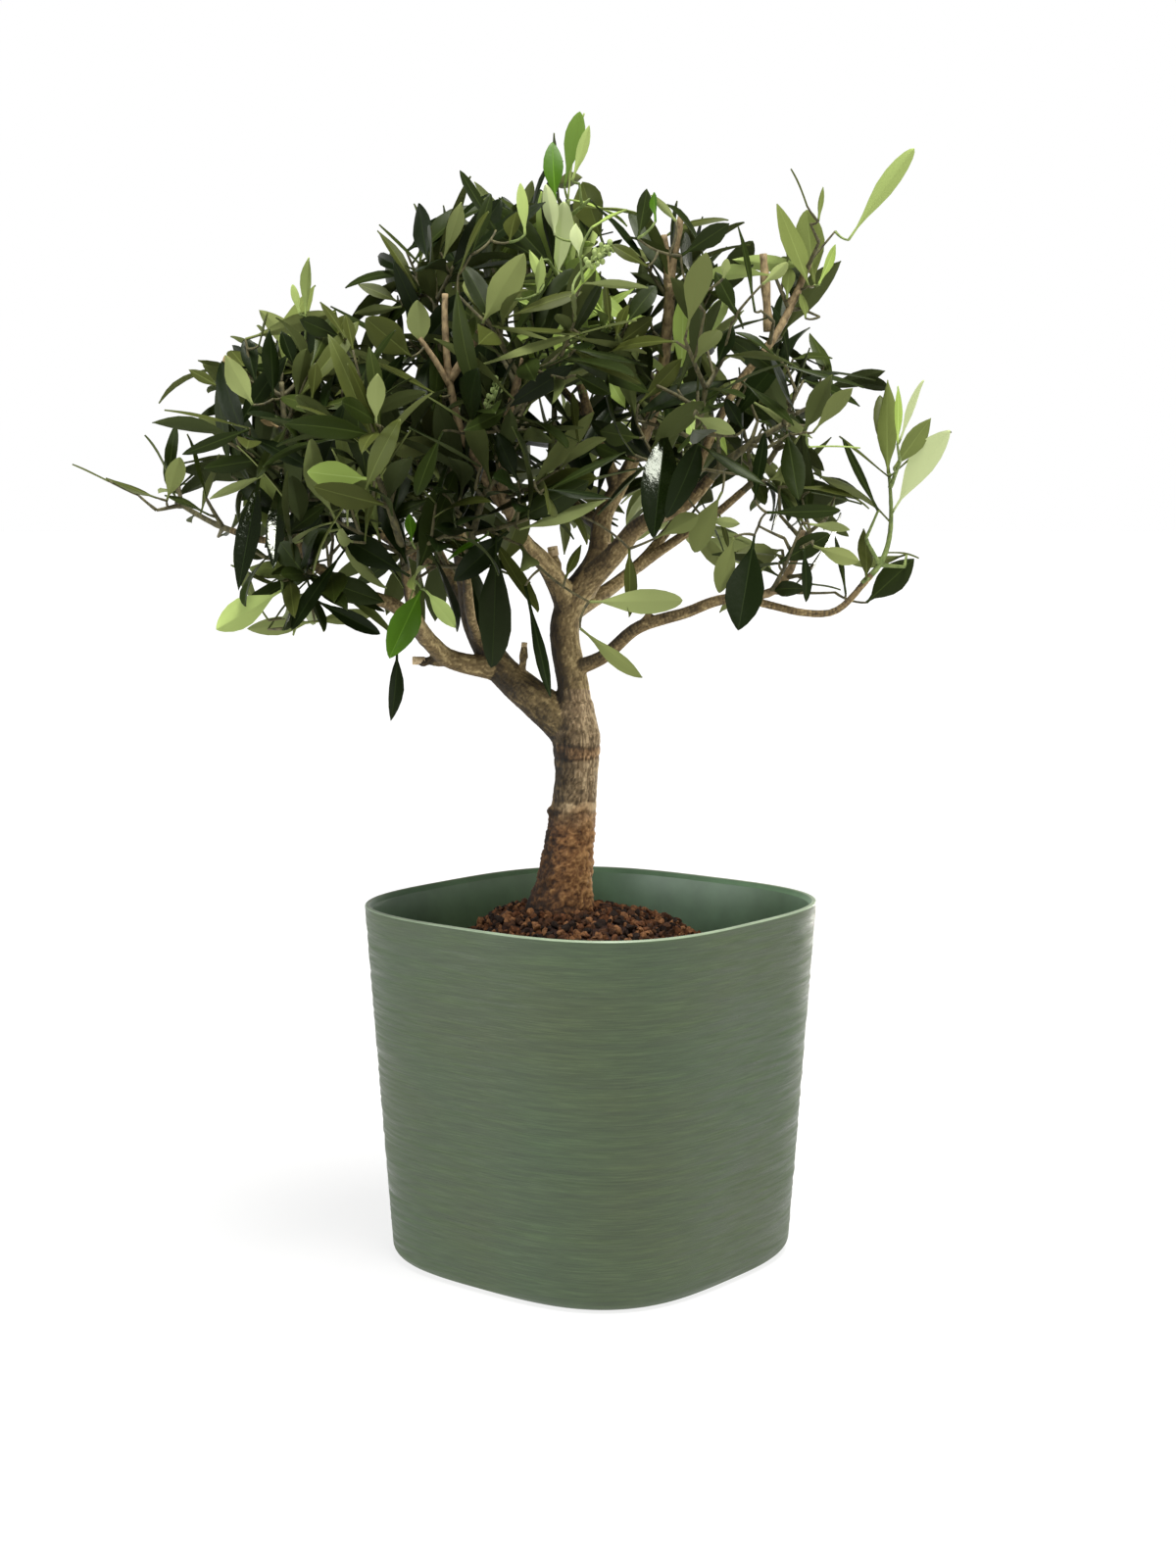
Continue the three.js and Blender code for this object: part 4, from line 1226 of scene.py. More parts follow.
def limb_skin(lines):
    """Trunk, boughs, lumps and stubs joined into one even skin"""
    pile = Pile()
    for name, (line, radii) in lines.items():
        swelling = 0 if name == "trunk" else BOUGH_SWELLING
        rings = max(LEAST_LIMB_RINGS, round(line.length / LIMB_STEP))
        pile.add(*tube(line, swollen(line, radii, swelling), LIMB_SIDES, rings))
    for centre, radius in LUMPS:
        pile.add(*ball_tube(centre, radius))
    for start, end, first, last in LIMB_STUBS:
        pile.add(*tube(bezier(start, end), lambda share: knobbed(first, last, share), *STUB_TUBE))
    rough = placed("limbs", pile.mesh("limbs"))
    union = rough.modifiers.new("union", "REMESH")
    union.mode = "VOXEL"
    union.voxel_size = BARK_VOXEL * MM
    mesh = bpy.data.meshes.new_from_object(rough.evaluated_get(bpy.context.evaluated_depsgraph_get()))
    bpy.data.objects.remove(rough)
    mesh.name = "bark"
    return mesh


def bark_mesh(lines):
    """Skin of the trunk and the boughs with the bark's relief"""
    mesh = limb_skin(lines)
    spots = smoothed(read(mesh.vertices, "co", 3) / MM, read(mesh.edges, "vertices", 2, int))
    relief, tones = bark_relief(spots, lines)
    mesh.vertices.foreach_set("co", (spots * MM).ravel())
    mesh.update()
    spots = spots + read(mesh.vertices, "normal", 3) * relief[:, None]
    mesh.vertices.foreach_set("co", (spots * MM).ravel())
    colours = mesh.attributes.new("bark", "FLOAT_COLOR", "POINT")
    colours.data.foreach_set("color", tones.ravel())
    mesh.shade_smooth()
    mesh.update()
    return mesh


def smoothed(spots, edges):
    """Corners eased towards their neighbours and back out, so that limbs keep their girth"""
    counts = np.bincount(edges.ravel(), minlength=len(spots))[:, None]
    for turn in range(SMOOTHING_ROUNDS):
        total = np.zeros_like(spots)
        for axis in range(3):
            total[:, axis] = np.bincount(edges[:, 0], spots[edges[:, 1], axis], len(spots))
            total[:, axis] += np.bincount(edges[:, 1], spots[edges[:, 0], axis], len(spots))
        spots = spots + (total / counts - spots) * SMOOTHING[turn % 2]
    return spots


def limb_rows(lines):
    """Points along every limb, two directions square to it, its girth, run and number"""
    rows = []
    for number, (line, radii) in enumerate(lines.values()):
        shares = np.linspace(0, 1, max(LEAST_AXIS_ROWS, round(line.length / AXIS_STEP)))
        run = shares * line.length + LIMB_APART * number
        girth = limb_radius(radii, shares)
        rows.append((*frames_of(line, shares), girth, run, np.full(len(shares), number)))
    return [np.concatenate(column) for column in zip(*rows)]


def nearest_rows(spots, axis, girth):
    """Number of the row whose limb each spot lies nearest to"""
    near = np.empty(len(spots), int)
    for start in range(0, len(spots), SPOT_BLOCK):
        block = slice(start, start + SPOT_BLOCK)
        near[block] = (np.linalg.norm(spots[block, None] - axis[None], axis=2) - girth[None]).argmin(axis=1)
    return near


def band(height, span):
    """One between two heights, fading to nothing outside them"""
    rise, fall = [smoothstep(level - BAND_FADE, level + BAND_FADE, height) for level in span]
    return rise * (1 - fall)


def bark_relief(spots, lines):
    """Height of the bark's relief at each corner, and its tones: relief with painted side light, foot of the
    trunk, stain with painted shade, bough
    """
    axis, first, second, girth, run, limb = limb_rows(lines)
    near = nearest_rows(spots, axis, girth)
    out = spots - axis[near]
    around = [(out * side[near]).sum(axis=1) for side in (first, second)]
    place = np.column_stack([*around, run[near]]) + layered(spots, BARK_WARP)[:, None]
    streaks, marks, plates = [noise(place / size, seed) for size, seed in BARK_GRAINS]
    cracks = np.exp(-((plates / CRACK_WIDTH) ** 2))
    height = spots[:, 2]
    on_trunk = limb[near] == 0
    foot = np.where(on_trunk, 1 - smoothstep(*FOOT_FADE, height + layered(spots, FOOT_WOBBLE)), 0)
    lumps = layered(spots, FOOT_LUMPS)
    wobble = height + layered(spots, RING_WOBBLE)
    collar = band(wobble, COLLAR) * on_trunk
    pale = band(wobble, PALE_BAND) * on_trunk * (PALE_SHARE + layered(spots, PALE_PATCHES))
    rings = np.zeros(len(spots))
    for level, depth in BARK_RINGS:
        rings += np.where(on_trunk, depth * np.exp(-(((wobble - level) / RING_WIDTH) ** 2)), 0)
    depth = np.clip(girth[near] * BARK_DEPTH, *BARK_DEPTH_SPAN)
    grain = RELIEF["streaks"] * streaks + RELIEF["plates"] * plates - RELIEF["cracks"] * cracks
    relief = mix(depth * grain, RELIEF["foot"] * lumps, foot) - RELIEF["rings"] * rings
    flare = np.exp(-np.clip(height - SOIL_LINE, 0, None) / FLARE["height"]) * on_trunk
    turn = np.arctan2(spots[:, 1], spots[:, 0] - TRUNK["path"][0][0])
    lobes = RELIEF["lobes"] * np.cos(FLARE["lobes"] * turn + FLARE["turn"])
    relief += FLARE["depth"] * flare * (lobes + layered(spots, FLARE["noise"]))
    fine = np.where(on_trunk, 1, BOUGH_FINENESS)
    # Share of the outward direction towards +x: drives painted light on the right side and painted shade on
    # the left
    painted_side_light = out[:, 0] / np.linalg.norm(out, axis=1)
    upper = (
        TONE["plain"] + fine * (TONE["streaks"] * streaks + TONE["streaks"] * marks)
        + TONE["plates"] * plates - TONE["plates"] * cracks + TONE["side"] * painted_side_light
    )
    lower = TONE["plain"] + TONE["foot_lumps"] * lumps + TONE["foot_painted_side_light"] * painted_side_light
    damp = TONE["damp"] * (1 - smoothstep(SOIL_LINE, DAMP_TOP, height)) * on_trunk
    tone = mix(upper, lower, foot) - TONE["rings"] * rings + TONE["pale"] * pale
    tone = tone - TONE["collar"] * collar - damp
    # Painted shade: the bark's left side darker
    painted_left_shade = STAIN_AND_SHADE["painted_left_shade"] * smoothstep(*PAINTED_SHADE_SIDE, -painted_side_light)
    stain_and_shade = STAIN_AND_SHADE["plain"] + layered(spots, STAIN_PATCHES) - painted_left_shade
    # Moss and painted shade in the fork and along the left bough
    for centre, radius, strength in MOSS_AND_SHADE_PATCHES:
        stain_and_shade -= strength * np.exp(-((np.linalg.norm(spots - centre, axis=1) / radius) ** 2))
    parts = [tone, np.maximum(foot, COLLAR_SHARE * collar), stain_and_shade, 1.0 - on_trunk]
    return relief, np.clip(np.column_stack(parts), 0, 1)


# Growth of twigs and leaves


@dataclass(eq=False)
class Twig:
    """Twig along a line, with its radii, colour and mass, the twig and the place on it that it grows from,
    and whether the photograph shows it"""

    line: Line
    radii: tuple
    tint: str
    mass: str
    parent: object = None
    spot: float = 0
    shown: bool = False

    def __post_init__(self):
        self.reach = 1 if self.shown else 0

    def radius_at(self, share):
        return mix(*self.radii, share)

    def use(self, along):
        """Marks the twig, and all that it grows from, as carrying a leaf at a share of its length"""
        self.reach = max(self.reach, along)
        if self.parent:
            self.parent.use(self.spot)

    def trimmed(self):
        """Line of the twig as far as its last leaf"""
        return Line(self.line.at(np.linspace(0, self.reach, TRIMMED_POINTS)))


@dataclass(eq=False)
class Leaf:
    """Leaf from its root along a heading, its upper face towards a direction square to that"""

    root: np.ndarray
    heading: np.ndarray
    face: np.ndarray
    length: float
    width: float
    tint: str
    twig: Twig
    along: float = 1
    roll: float = 0
    bend: tuple = LEAF_BEND

    def __post_init__(self):
        self.heading = unit(self.heading)
        face = unit(self.face - self.heading * self.face.dot(self.heading))
        self.face = face * math.cos(self.roll) + np.cross(self.heading, face) * math.sin(self.roll)

    def tip(self):
        return self.root + self.heading * self.length

    def swung(self, random):
        """The same leaf at a heading a little to one side"""
        heading = unit(self.heading + random.normal(size=3) * LEAF_SWING)
        return Leaf(self.root, heading, self.face, self.length, self.width, self.tint, self.twig, self.along)


loose = seeded(LOOSE_SEED)


def leaf_at(draw, along, angle, opening, length, twig):
    """Leaf growing from a twig at an angle round it, facing the twig's tip and the sky"""
    root, twig_heading = twig.line.at(along), twig.line.heading(along)
    heading = opened(twig_heading, turned(twig_heading, angle), opening)
    heading = unit(heading - UP * between(draw, LEAF_DROOP))
    size = length * between(draw, LEAF_LENGTH_SHARE)
    width = size * between(draw, LEAF_WIDTH_SHARE) * between(loose, SLIMNESS)
    face = twig_heading + UP * LEAF_SKYWARD
    tint = spray_tint(loose, twig.mass) if loose() < LEAF_STRAY else twig.tint
    # Painted shade: leaves inside the crown's heart take a darker tint
    if np.linalg.norm((root - SHADED_HEART[0]) / SHADED_HEART[1]) < 1:
        tint = SHADED_INNER_TINTS.get(tint, tint)
    return Leaf(root, heading, face, size, width, tint, twig, along, between(loose, LEAF_ROLL))


def leaves_of(draw, twig, first_turn, length, nodes):
    """Leaves of one twig: an opposite pair at each node, each pair a quarter turn on"""
    leaves = []
    for number, along in enumerate(nodes):
        for side in (0, 1):
            opening = between(draw, LEAF_OPENING) * (LEAF_END_CLOSING if along == 1 else 1)
            angle = first_turn + number * math.pi / 2 + side * math.pi
            leaves.append(leaf_at(draw, along, angle, opening, length, twig))
    return leaves


def twig_line(root, heading, length):
    tip = root + heading * length + UP * length * TWIG_LIFT
    return bezier(root, root + heading * length * TWIG_BEND, tip)


def stem_line(mass):
    """Stem of a mass: leaves its bough along the bough's own line and bends to the stem's tip"""
    bough = through(BOUGHS[BOUGH_OF.get(mass, mass)][0])
    tip = np.array(FOLIAGE[mass][0], float)
    heading = bough.heading(1)
    root = bough.at(1) + heading * GAP
    leave = root + heading * np.linalg.norm(tip - root) / 3
    return bezier(root, leave, mix(tip, leave, 0.5), tip)


def spray_tint(draw, mass):
    """Colour of one spray of leaves"""
    if draw() < FRESH_SHARE.get(mass, 0):
        return "fresh"
    pick = draw()
    for name, share in SPRAY_TINTS:
        pick -= share
        if pick <= 0:
            return name
    return SPRAY_TINTS[-1][0]


def tree_of(tubes):
    """Search tree over the faces of several tubes"""
    spots, faces, count = [], [], 0
    for tube_spots, tube_faces in tubes:
        spots.append(tube_spots)
        faces.extend([[corner + count for corner in face] for face in tube_faces])
        count += len(tube_spots)
    return BVHTree.FromPolygons(np.vstack(spots).tolist(), faces)


class Crown:
    """Twigs and leaves of every mass, each kept only where it is clear of what already grows there"""

    def __init__(self, lines):
        self.twigs = []
        self.leaves = []
        self.shapes = []
        self.wanted, self.extras, self.spare = [], [], []
        self.centres = np.zeros((0, 3))
        self.random = np.random.default_rng(CROWN_SEED)
        self.in_view = np.zeros((0, 5))
        self.cover = {}
        rough = [tube(line, swollen(line, radii, 0), *ROUGH_LIMB) for line, radii in lines.values()]
        self.limbs = tree_of(rough)
        self.wood = None

    def add_twig(self, twig):
        """Twig, unless it runs into a limb beyond its root"""
        for spot in twig.line.at(np.linspace(TWIG_CLEAR_FROM, 1, TWIG_CLEAR_POINTS)):
            if self.limbs.find_nearest(spot.tolist(), twig.radii[0] + TWIG_CLEARANCE)[0] is not None:
                return False
        self.twigs.append(twig)
        return True

    def close_wood(self):
        """Search tree over the twigs, for the leaves that come after"""
        self.wood = tree_of([tube(twig.line, twig.radius_at, *ROUGH_TWIG) for twig in self.twigs])

    def keep_in_view(self, points):
        """Points that later leaves may not hide from the photograph's eye"""
        self.in_view = np.vstack([self.in_view, np.column_stack([points, pixels(points)])])

    def strays(self, blade):
        """Whether a blade leaves the crown's outline or closes one of its gaps"""
        seen = pixels(blade)
        near = np.linalg.norm(seen[:, None] - SKY[None, :, :2], axis=2) < SKY[None, :, 2]
        return near.any() or not inside(seen, OUTLINE).all()

    def hides(self, shape, blade):
        """Whether a blade hides what the photograph shows"""
        seen = pixels(blade)
        middle = seen.mean(axis=0)
        size = np.hypot(*(seen - middle).T).max()
        for point in self.in_view[np.hypot(*(self.in_view[:, 3:] - middle).T) < size, :3]:
            far = np.linalg.norm(point - EYE)
            way = (point - EYE) / far
            if shape.ray_cast(EYE.tolist(), way.tolist(), far - SIGHT_MARGIN)[0] is not None:
                return True
        return False

    def add_leaf(self, leaf, shown=False, in_cover=False):
        """Leaf, unless its blade crosses a limb, a twig or another leaf, or spoils the view, and if asked
        only behind leaves that the photograph's eye already meets"""
        spots = leaf_spots(leaf, self.random)
        rows = spots.reshape(len(STATIONS), COLUMNS, 3)
        blade = rows[BLADE_ROWS][:, BLADE_COLUMNS].reshape(-1, 3)
        shape = BVHTree.FromPolygons(blade.tolist(), BLADE_FACES)
        surface = rows[1:, :UPPER_COLUMNS].reshape(-1, 3)
        cells = [tuple(cell) for cell in (pixels(surface) // COVER_CELL).astype(int).tolist()]
        seen = list(zip(cells, np.linalg.norm(surface - EYE, axis=1)))
        if in_cover and any(self.cover.get(cell, math.inf) > far for cell, far in seen):
            return False
        if self.hides(shape, surface):
            return False
        if not shown and (shape.overlap(self.limbs) or shape.overlap(self.wood) or self.strays(surface)):
            return False
        centre = (leaf.root + leaf.tip()) / 2
        near = np.nonzero(np.linalg.norm(self.centres - centre, axis=1) < leaf.length + LEAF_NEAR)[0]
        if any(shape.overlap(self.shapes[number]) for number in near):
            return False
        if shown:
            self.keep_in_view(rows[VIEW_ROWS][:, VIEW_COLUMNS].reshape(-1, 3))
        for cell, far in seen:
            self.cover[cell] = min(far, self.cover.get(cell, math.inf))
        leaf.twig.use(leaf.along)
        self.leaves.append((leaf, spots))
        self.shapes.append(shape)
        self.centres = np.vstack([self.centres, centre])
        return True


def leaf_spots(leaf, random):
    """Corners of a leaf's blade, row by row: six across its upper face, then four under them"""
    along = STATIONS
    fullest = math.log(0.5) / math.log(random.uniform(*WIDEST))
    body = np.clip((along - PETIOLE) / (1 - PETIOLE), 0, 1) ** fullest
    taper = mix(1, random.uniform(*TIP_BLUNTNESS), smoothstep(*TIP_SPAN, along))
    half = leaf.width / 2 * np.clip(np.sin(np.pi * body), 0, 1) ** taper
    half = np.maximum(half, mix(*LEAST_HALF, along))
    bend = random.uniform(*leaf.bend)
    lean = random.uniform(*LEAF_LEAN) + bend * along**BEND_POWER
    middle = (lean[1:] + lean[:-1]) / 2
    steps = np.diff(along) * leaf.length
    forward = np.concatenate(([0], np.cumsum(np.cos(middle) * steps)))
    down = np.concatenate(([0], np.cumsum(np.sin(middle) * steps)))
    spine = leaf.root + forward[:, None] * leaf.heading - down[:, None] * leaf.face
    lift = np.sin(lean)[:, None] * leaf.heading + np.cos(lean)[:, None] * leaf.face
    across = np.cross(leaf.face, leaf.heading)
    twist = (random.uniform(*LEAF_TWIST) * along)[:, None]
    side, lift = across * np.cos(twist) + lift * np.sin(twist), lift * np.cos(twist) - across * np.sin(twist)
    fold = random.uniform(*LEAF_FOLD)
    curl = random.uniform(*LEAF_CURL)
    wave_height, pace, start = [random.uniform(*span) for span in (LEAF_WAVE, WAVE_PACE, WAVE_START)]
    wave = wave_height * np.sin(along * pace + start)
    rib = np.minimum(RIB_WIDTH / 2 * (1 - RIB_TAPER * along) / half, RIB_LIMIT)
    edge = np.ones(len(along))
    places = np.stack([-edge, -BLADE_MIDDLE * edge, -rib, rib, BLADE_MIDDLE * edge, edge], axis=1)
    reach = places * half[:, None]
    rise = half[:, None] * (np.abs(places) * (fold + wave[:, None]) - curl * places**2 * 2)
    surface = spine[:, None] + reach[..., None] * side[:, None] + rise[..., None] * lift[:, None]
    top = surface + UPPER_RISE[None, :, None] * lift[:, None]
    bottom = surface[:, 1:-1] + UNDER_RISE[None, :, None] * lift[:, None]
    return np.concatenate([top, bottom], axis=1).reshape(-1, 3)


def leaf_faces():
    """Faces of one leaf, with the place of each among the leaf's materials"""
    above, below = [0, 1, 2, 3, 4, 5], [0, 6, 7, 8, 9, 5]
    faces, places = [], []
    for row in range(len(STATIONS) - 1):
        low, high = row * COLUMNS, (row + 1) * COLUMNS
        for column in range(UPPER_COLUMNS - 1):
            faces.append([low + column, high + column, high + column + 1, low + column + 1])
            places.append(MIDRIB if column == UPPER_COLUMNS // 2 - 1 else UPPER_FACE)
            left, right = below[column], below[column + 1]
            faces.append([low + left, low + right, high + right, high + left])
            places.append(UNDERSIDE)
    ring = above + below[-2:0:-1]
    last = (len(STATIONS) - 1) * COLUMNS
    faces += [ring, [last + corner for corner in ring[::-1]]]
    return faces, places + [UNDERSIDE, UNDERSIDE]


class Mass:
    """One foliage mass: its stem, the twig that carries it out of the bough, reach and random numbers"""

    def __init__(self, name):
        _, self.reach, self.pairs, self.length, seed, self.far = FOLIAGE[name]
        self.name = name
        self.draw, self.fine = seeded(seed), seeded(seed + FINE_SEED)
        self.stem = stem_line(name)
        self.spine = self.stem.at(np.linspace(0, 1, SPINE_STEPS + 1))
        back = Line(np.vstack([self.stem.at(0) - self.stem.heading(0) * STEM_BACK, self.stem.points]))
        bough_tip = BOUGHS[BOUGH_OF.get(name, name)][2]
        radii = (bough_tip * STEM_FIT, STEM_TIPS.get(name, STEM_TIP_RADIUS))
        self.trunk = Twig(back, radii, spray_tint(self.fine, name), name)

    def holds(self, tip):
        """Whether a tip is within the mass's reach of its stem"""
        return np.linalg.norm(self.spine - tip, axis=1).min() < self.reach

    def on_trunk(self, along):
        """Share of the carrying twig at a share of the stem"""
        return (STEM_BACK + along * self.stem.length) / self.trunk.line.length

    def twig(self, line, radii, tint, spot):
        """Twig that grows from the carrying twig at a share of it"""
        return Twig(line, radii, tint, self.name, self.trunk, spot)

    def grow(self, crown):
        """Stem, side twigs and sprigs, and the leaves that they ask for"""
        crown.twigs.append(self.trunk)
        for point in self.far:
            self.far_leaf(crown, np.array(point, float))
        first_turn = self.draw() * math.pi
        for pair in range(self.pairs):
            along = mix(*TWIG_SPAN, pair / (self.pairs - 1))
            turn = first_turn + pair * math.pi / 2 + between(self.draw, TWIG_JITTER)
            for side in (0, math.pi):
                self.side_twig(crown, along, turn + side)
        plain = Twig(self.stem, STALK_RADIUS, self.trunk.tint, self.name)
        stem_leaves = leaves_of(self.draw, plain, first_turn, self.length, LEAF_NODES)
        more = leaves_of(self.fine, plain, first_turn + EXTRA_TURN, self.length, STEM_NODES)
        for leaf in stem_leaves + more:
            leaf.twig, leaf.along = self.trunk, self.on_trunk(leaf.along)
        crown.wanted += stem_leaves
        self.sort_out(crown, more)
        for spot, tip in HEART_TWIGS.get(self.name, ()):
            leave = self.stem.at(spot) + self.stem.heading(spot) * TWIG_RADIUS[0] * HEART_LEAVE
            line = bezier(self.stem.at(spot), leave, np.array(tip, float))
            twig = self.twig(line, TWIG_RADIUS, spray_tint(self.fine, self.name), self.on_trunk(spot))
            if crown.add_twig(twig):
                crown.spare += leaves_of(self.fine, twig, self.fine() * math.pi, self.length, HEART_NODES)

    def far_leaf(self, crown, target):
        """Leaf out to one of the furthest tips, on a stalk where the stem is too far off"""
        steps = self.spine[int(SPINE_STEPS * STEM_BARE):]
        nearest = np.linalg.norm(steps - target, axis=1).argmin()
        root, spot = steps[nearest], self.on_trunk((nearest + SPINE_STEPS * STEM_BARE) / SPINE_STEPS)
        heading = unit(target - root)
        end = target - heading * self.length * LEAF_LENGTH_SHARE[1]
        on_stalk = (end - root).dot(heading) > 0
        leaf_root = end if on_stalk else root
        size = np.linalg.norm(target - leaf_root)
        width = size * between(self.draw, LEAF_WIDTH_SHARE) * between(loose, SLIMNESS)
        twig, along = self.trunk, spot
        if on_stalk:
            twig, along = self.twig(bezier(root, end), STALK_RADIUS, self.trunk.tint, spot), 1
            if not crown.add_twig(twig):
                return
        crown.wanted.append(Leaf(leaf_root, heading, UP, size, width, twig.tint, twig, along))

    def side_twig(self, crown, along, turn):
        """Side twig from the stem with its leaves, and sprigs from it with theirs"""
        heading = self.stem.heading(along)
        opening = between(self.draw, TWIG_OPENING) * mix(*TWIG_CLOSING, along)
        aim = opened(heading, turned(heading, turn), opening)
        size = self.reach * between(self.draw, TWIG_SHARE) * mix(*TWIG_SHORTENING, along)
        line = twig_line(self.stem.at(along), unit(aim + UP * TWIG_LIFT), size)
        twig = self.twig(line, TWIG_RADIUS, spray_tint(self.fine, self.name), self.on_trunk(along))
        leaf_turn = self.draw() * math.pi
        leaves = leaves_of(self.draw, twig, leaf_turn, self.length, LEAF_NODES)
        if not crown.add_twig(twig):
            return
        crown.wanted += [leaf for leaf in leaves if self.holds(leaf.tip())]
        more = leaves_of(self.fine, twig, leaf_turn + EXTRA_TURN, self.length, EXTRA_NODES)
        for number, spot in enumerate(SPRIG_SPOTS):
            out = turned(line.heading(spot), leaf_turn + number * SPRIG_TURN + self.fine())
            aim = opened(line.heading(spot), out, between(self.fine, SPRIG_OPENING))
            sprig_size = size * between(self.fine, SPRIG_SHARE)
            finer = twig_line(line.at(spot), unit(aim + UP * SPRIG_LIFT), sprig_size)
            sprig = Twig(finer, SPRIG_RADIUS, twig.tint, self.name, twig, spot)
            leaf_length = self.length * SPRIG_LEAF
            small = leaves_of(self.fine, sprig, self.fine() * math.pi, leaf_length, SPRIG_NODES)
            if self.holds(finer.at(1)) and crown.add_twig(sprig):
                more += small
        self.sort_out(crown, more)

    def sort_out(self, crown, leaves):
        """Deals leaves within reach out to those that fill the crown and those that only back it"""
        for leaf in leaves:
            if self.holds(leaf.tip()):
                full = self.fine() < FULLNESS.get(self.name, 1)
                (crown.extras if full else crown.spare).append(leaf)


def grow(crown):
    """Twigs of every mass, then the leaves, those that the photograph shows first"""
    for mass, path, root_radius, tip_radius in SHOWN_STEMS:
        crown.twigs.append(Twig(through(path), (root_radius, tip_radius), "dark", mass, shown=True))
    for name in FOLIAGE:
        Mass(name).grow(crown)
    crown.close_wood()
    for twig in crown.twigs:
        if twig.shown:
            crown.keep_in_view(twig.line.at(SHOWN_SHARES))
    accents = [(*spec, *look) for look, specs in ACCENTS.items() for spec in specs]
    for spec in sorted(accents, key=accent_area, reverse=True):
        accent(crown, spec[:2], spec[2:4], *spec[4:])
    for name, span in SHOWING.items():
        crown.keep_in_view(through(BOUGHS[name][0]).at(np.linspace(*span, SHOWING_POINTS)))
    for name, span in SHOWING_STEMS.items():
        crown.keep_in_view(stem_line(name).at(np.linspace(*span, SHOWING_STEM_POINTS)))
    for leaves, in_cover in ((crown.wanted + crown.extras, False), (crown.spare, True)):
        for leaf in leaves:
            tries = 0
            while not crown.add_leaf(leaf, in_cover=in_cover) and tries < LEAF_TRIES:
                leaf = leaf.swung(crown.random)
                tries += 1
    crown.twigs = [twig for twig in crown.twigs if twig.reach > 0]


def carrier_of(crown, pixel, ahead):
    """Twig that the line of sight through a pixel passes nearest, not beyond it on the way to the pixel
    ahead, with its share there, the point and the depth"""
    way = sight(pixel)
    onward = unit(np.subtract(ahead, pixel))
    best = None
    for twig in crown.twigs:
        points = twig.line.at(CARRIER_SHARES)
        depths = (points - EYE) @ way / way.dot(way)
        apart = np.linalg.norm(EYE + depths[:, None] * way - points, axis=1)
        beyond = np.clip((pixels(points) - pixel) @ onward, 0, None)
        scores = apart + beyond + ACCENT_FRONT * points[:, 1]
        number = scores.argmin()
        if best is None or scores[number] < best[0]:
            best = (scores[number], twig, CARRIER_SHARES[number], points[number], depths[number])
    return best[1:]


def accent_area(spec):
    root_x, root_y, tip_x, tip_y, width = spec[:5]
    return width * math.hypot(tip_x - root_x, tip_y - root_y)


def accent(crown, root_pixel, tip_pixel, width, tint, side):
    """Leaf at its place in the photograph, on a stalk from the nearest twig, where there is room for it"""
    twig, spot, carrier, depth = carrier_of(crown, root_pixel, tip_pixel)
    ahead = sight(tip_pixel)
    turn = between(loose, (-1, 1))
    roll = 0 if side == "edge" or tint == "gloss" else math.copysign(mix(*ACCENT_ROLL, abs(turn)), turn)
    drop = unit(np.subtract(tip_pixel, root_pixel))[1]
    lean = ACCENT_LEAN + drop * (GLOSS_TILT if tint == "gloss" else ACCENT_TILT[side])
    towards_share, up_share = ACCENT_FACES[side]
    for shift in ACCENT_SHIFTS:
        root = EYE + (depth + shift) * sight(root_pixel)
        flat = np.linalg.norm(EYE + (depth + shift) * ahead - root)
        tip = EYE + ahead * (root[1] - lean * flat - EYE[1]) / ahead[1]
        face = unit(EYE - root) * towards_share + UP * up_share
        sag = unit(tip - root) * np.linalg.norm(root - carrier) * STALK_SAG
        line = bezier(carrier, mix(carrier, root, STALK_BEND) - sag, root)
        stalk = Twig(line, STALK_RADIUS, tint, twig.mass, twig, spot)
        size = (np.linalg.norm(tip - root), width * depth / FOCAL)
        leaf = Leaf(root, tip - root, face, *size, tint, stalk, roll=roll, bend=ACCENT_BEND)
        if crown.add_leaf(leaf, shown=True):
            crown.twigs.append(stalk)
            return


# Pieces of the crown


def leaf_piece(crown, mass, materials):
    """Every leaf of one mass as one piece"""
    faces, places = leaf_faces()
    own = [(leaf, spots) for leaf, spots in crown.leaves if leaf.twig.mass == mass]
    tints = sorted({leaf.tint for leaf, _ in own})
    pile = Pile()
    for leaf, spots in own:
        first = LEAF_PLACES * tints.index(leaf.tint)
        pile.add(spots, faces, [first + place for place in places])
    mesh = pile.mesh(f"leaves_{mass}")
    low, high = np.sort(read(mesh.edges, "vertices", 2, int), axis=1).T
    margin = (high - low == COLUMNS) & np.isin(low % COLUMNS, (0, UPPER_COLUMNS - 1))
    mesh.attributes.new("sharp_edge", "BOOLEAN", "EDGE").data.foreach_set("value", margin)
    piece = piece_of(mesh, [part for tint in tints for part in materials[tint]])
    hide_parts(f"foliage_{mass}")


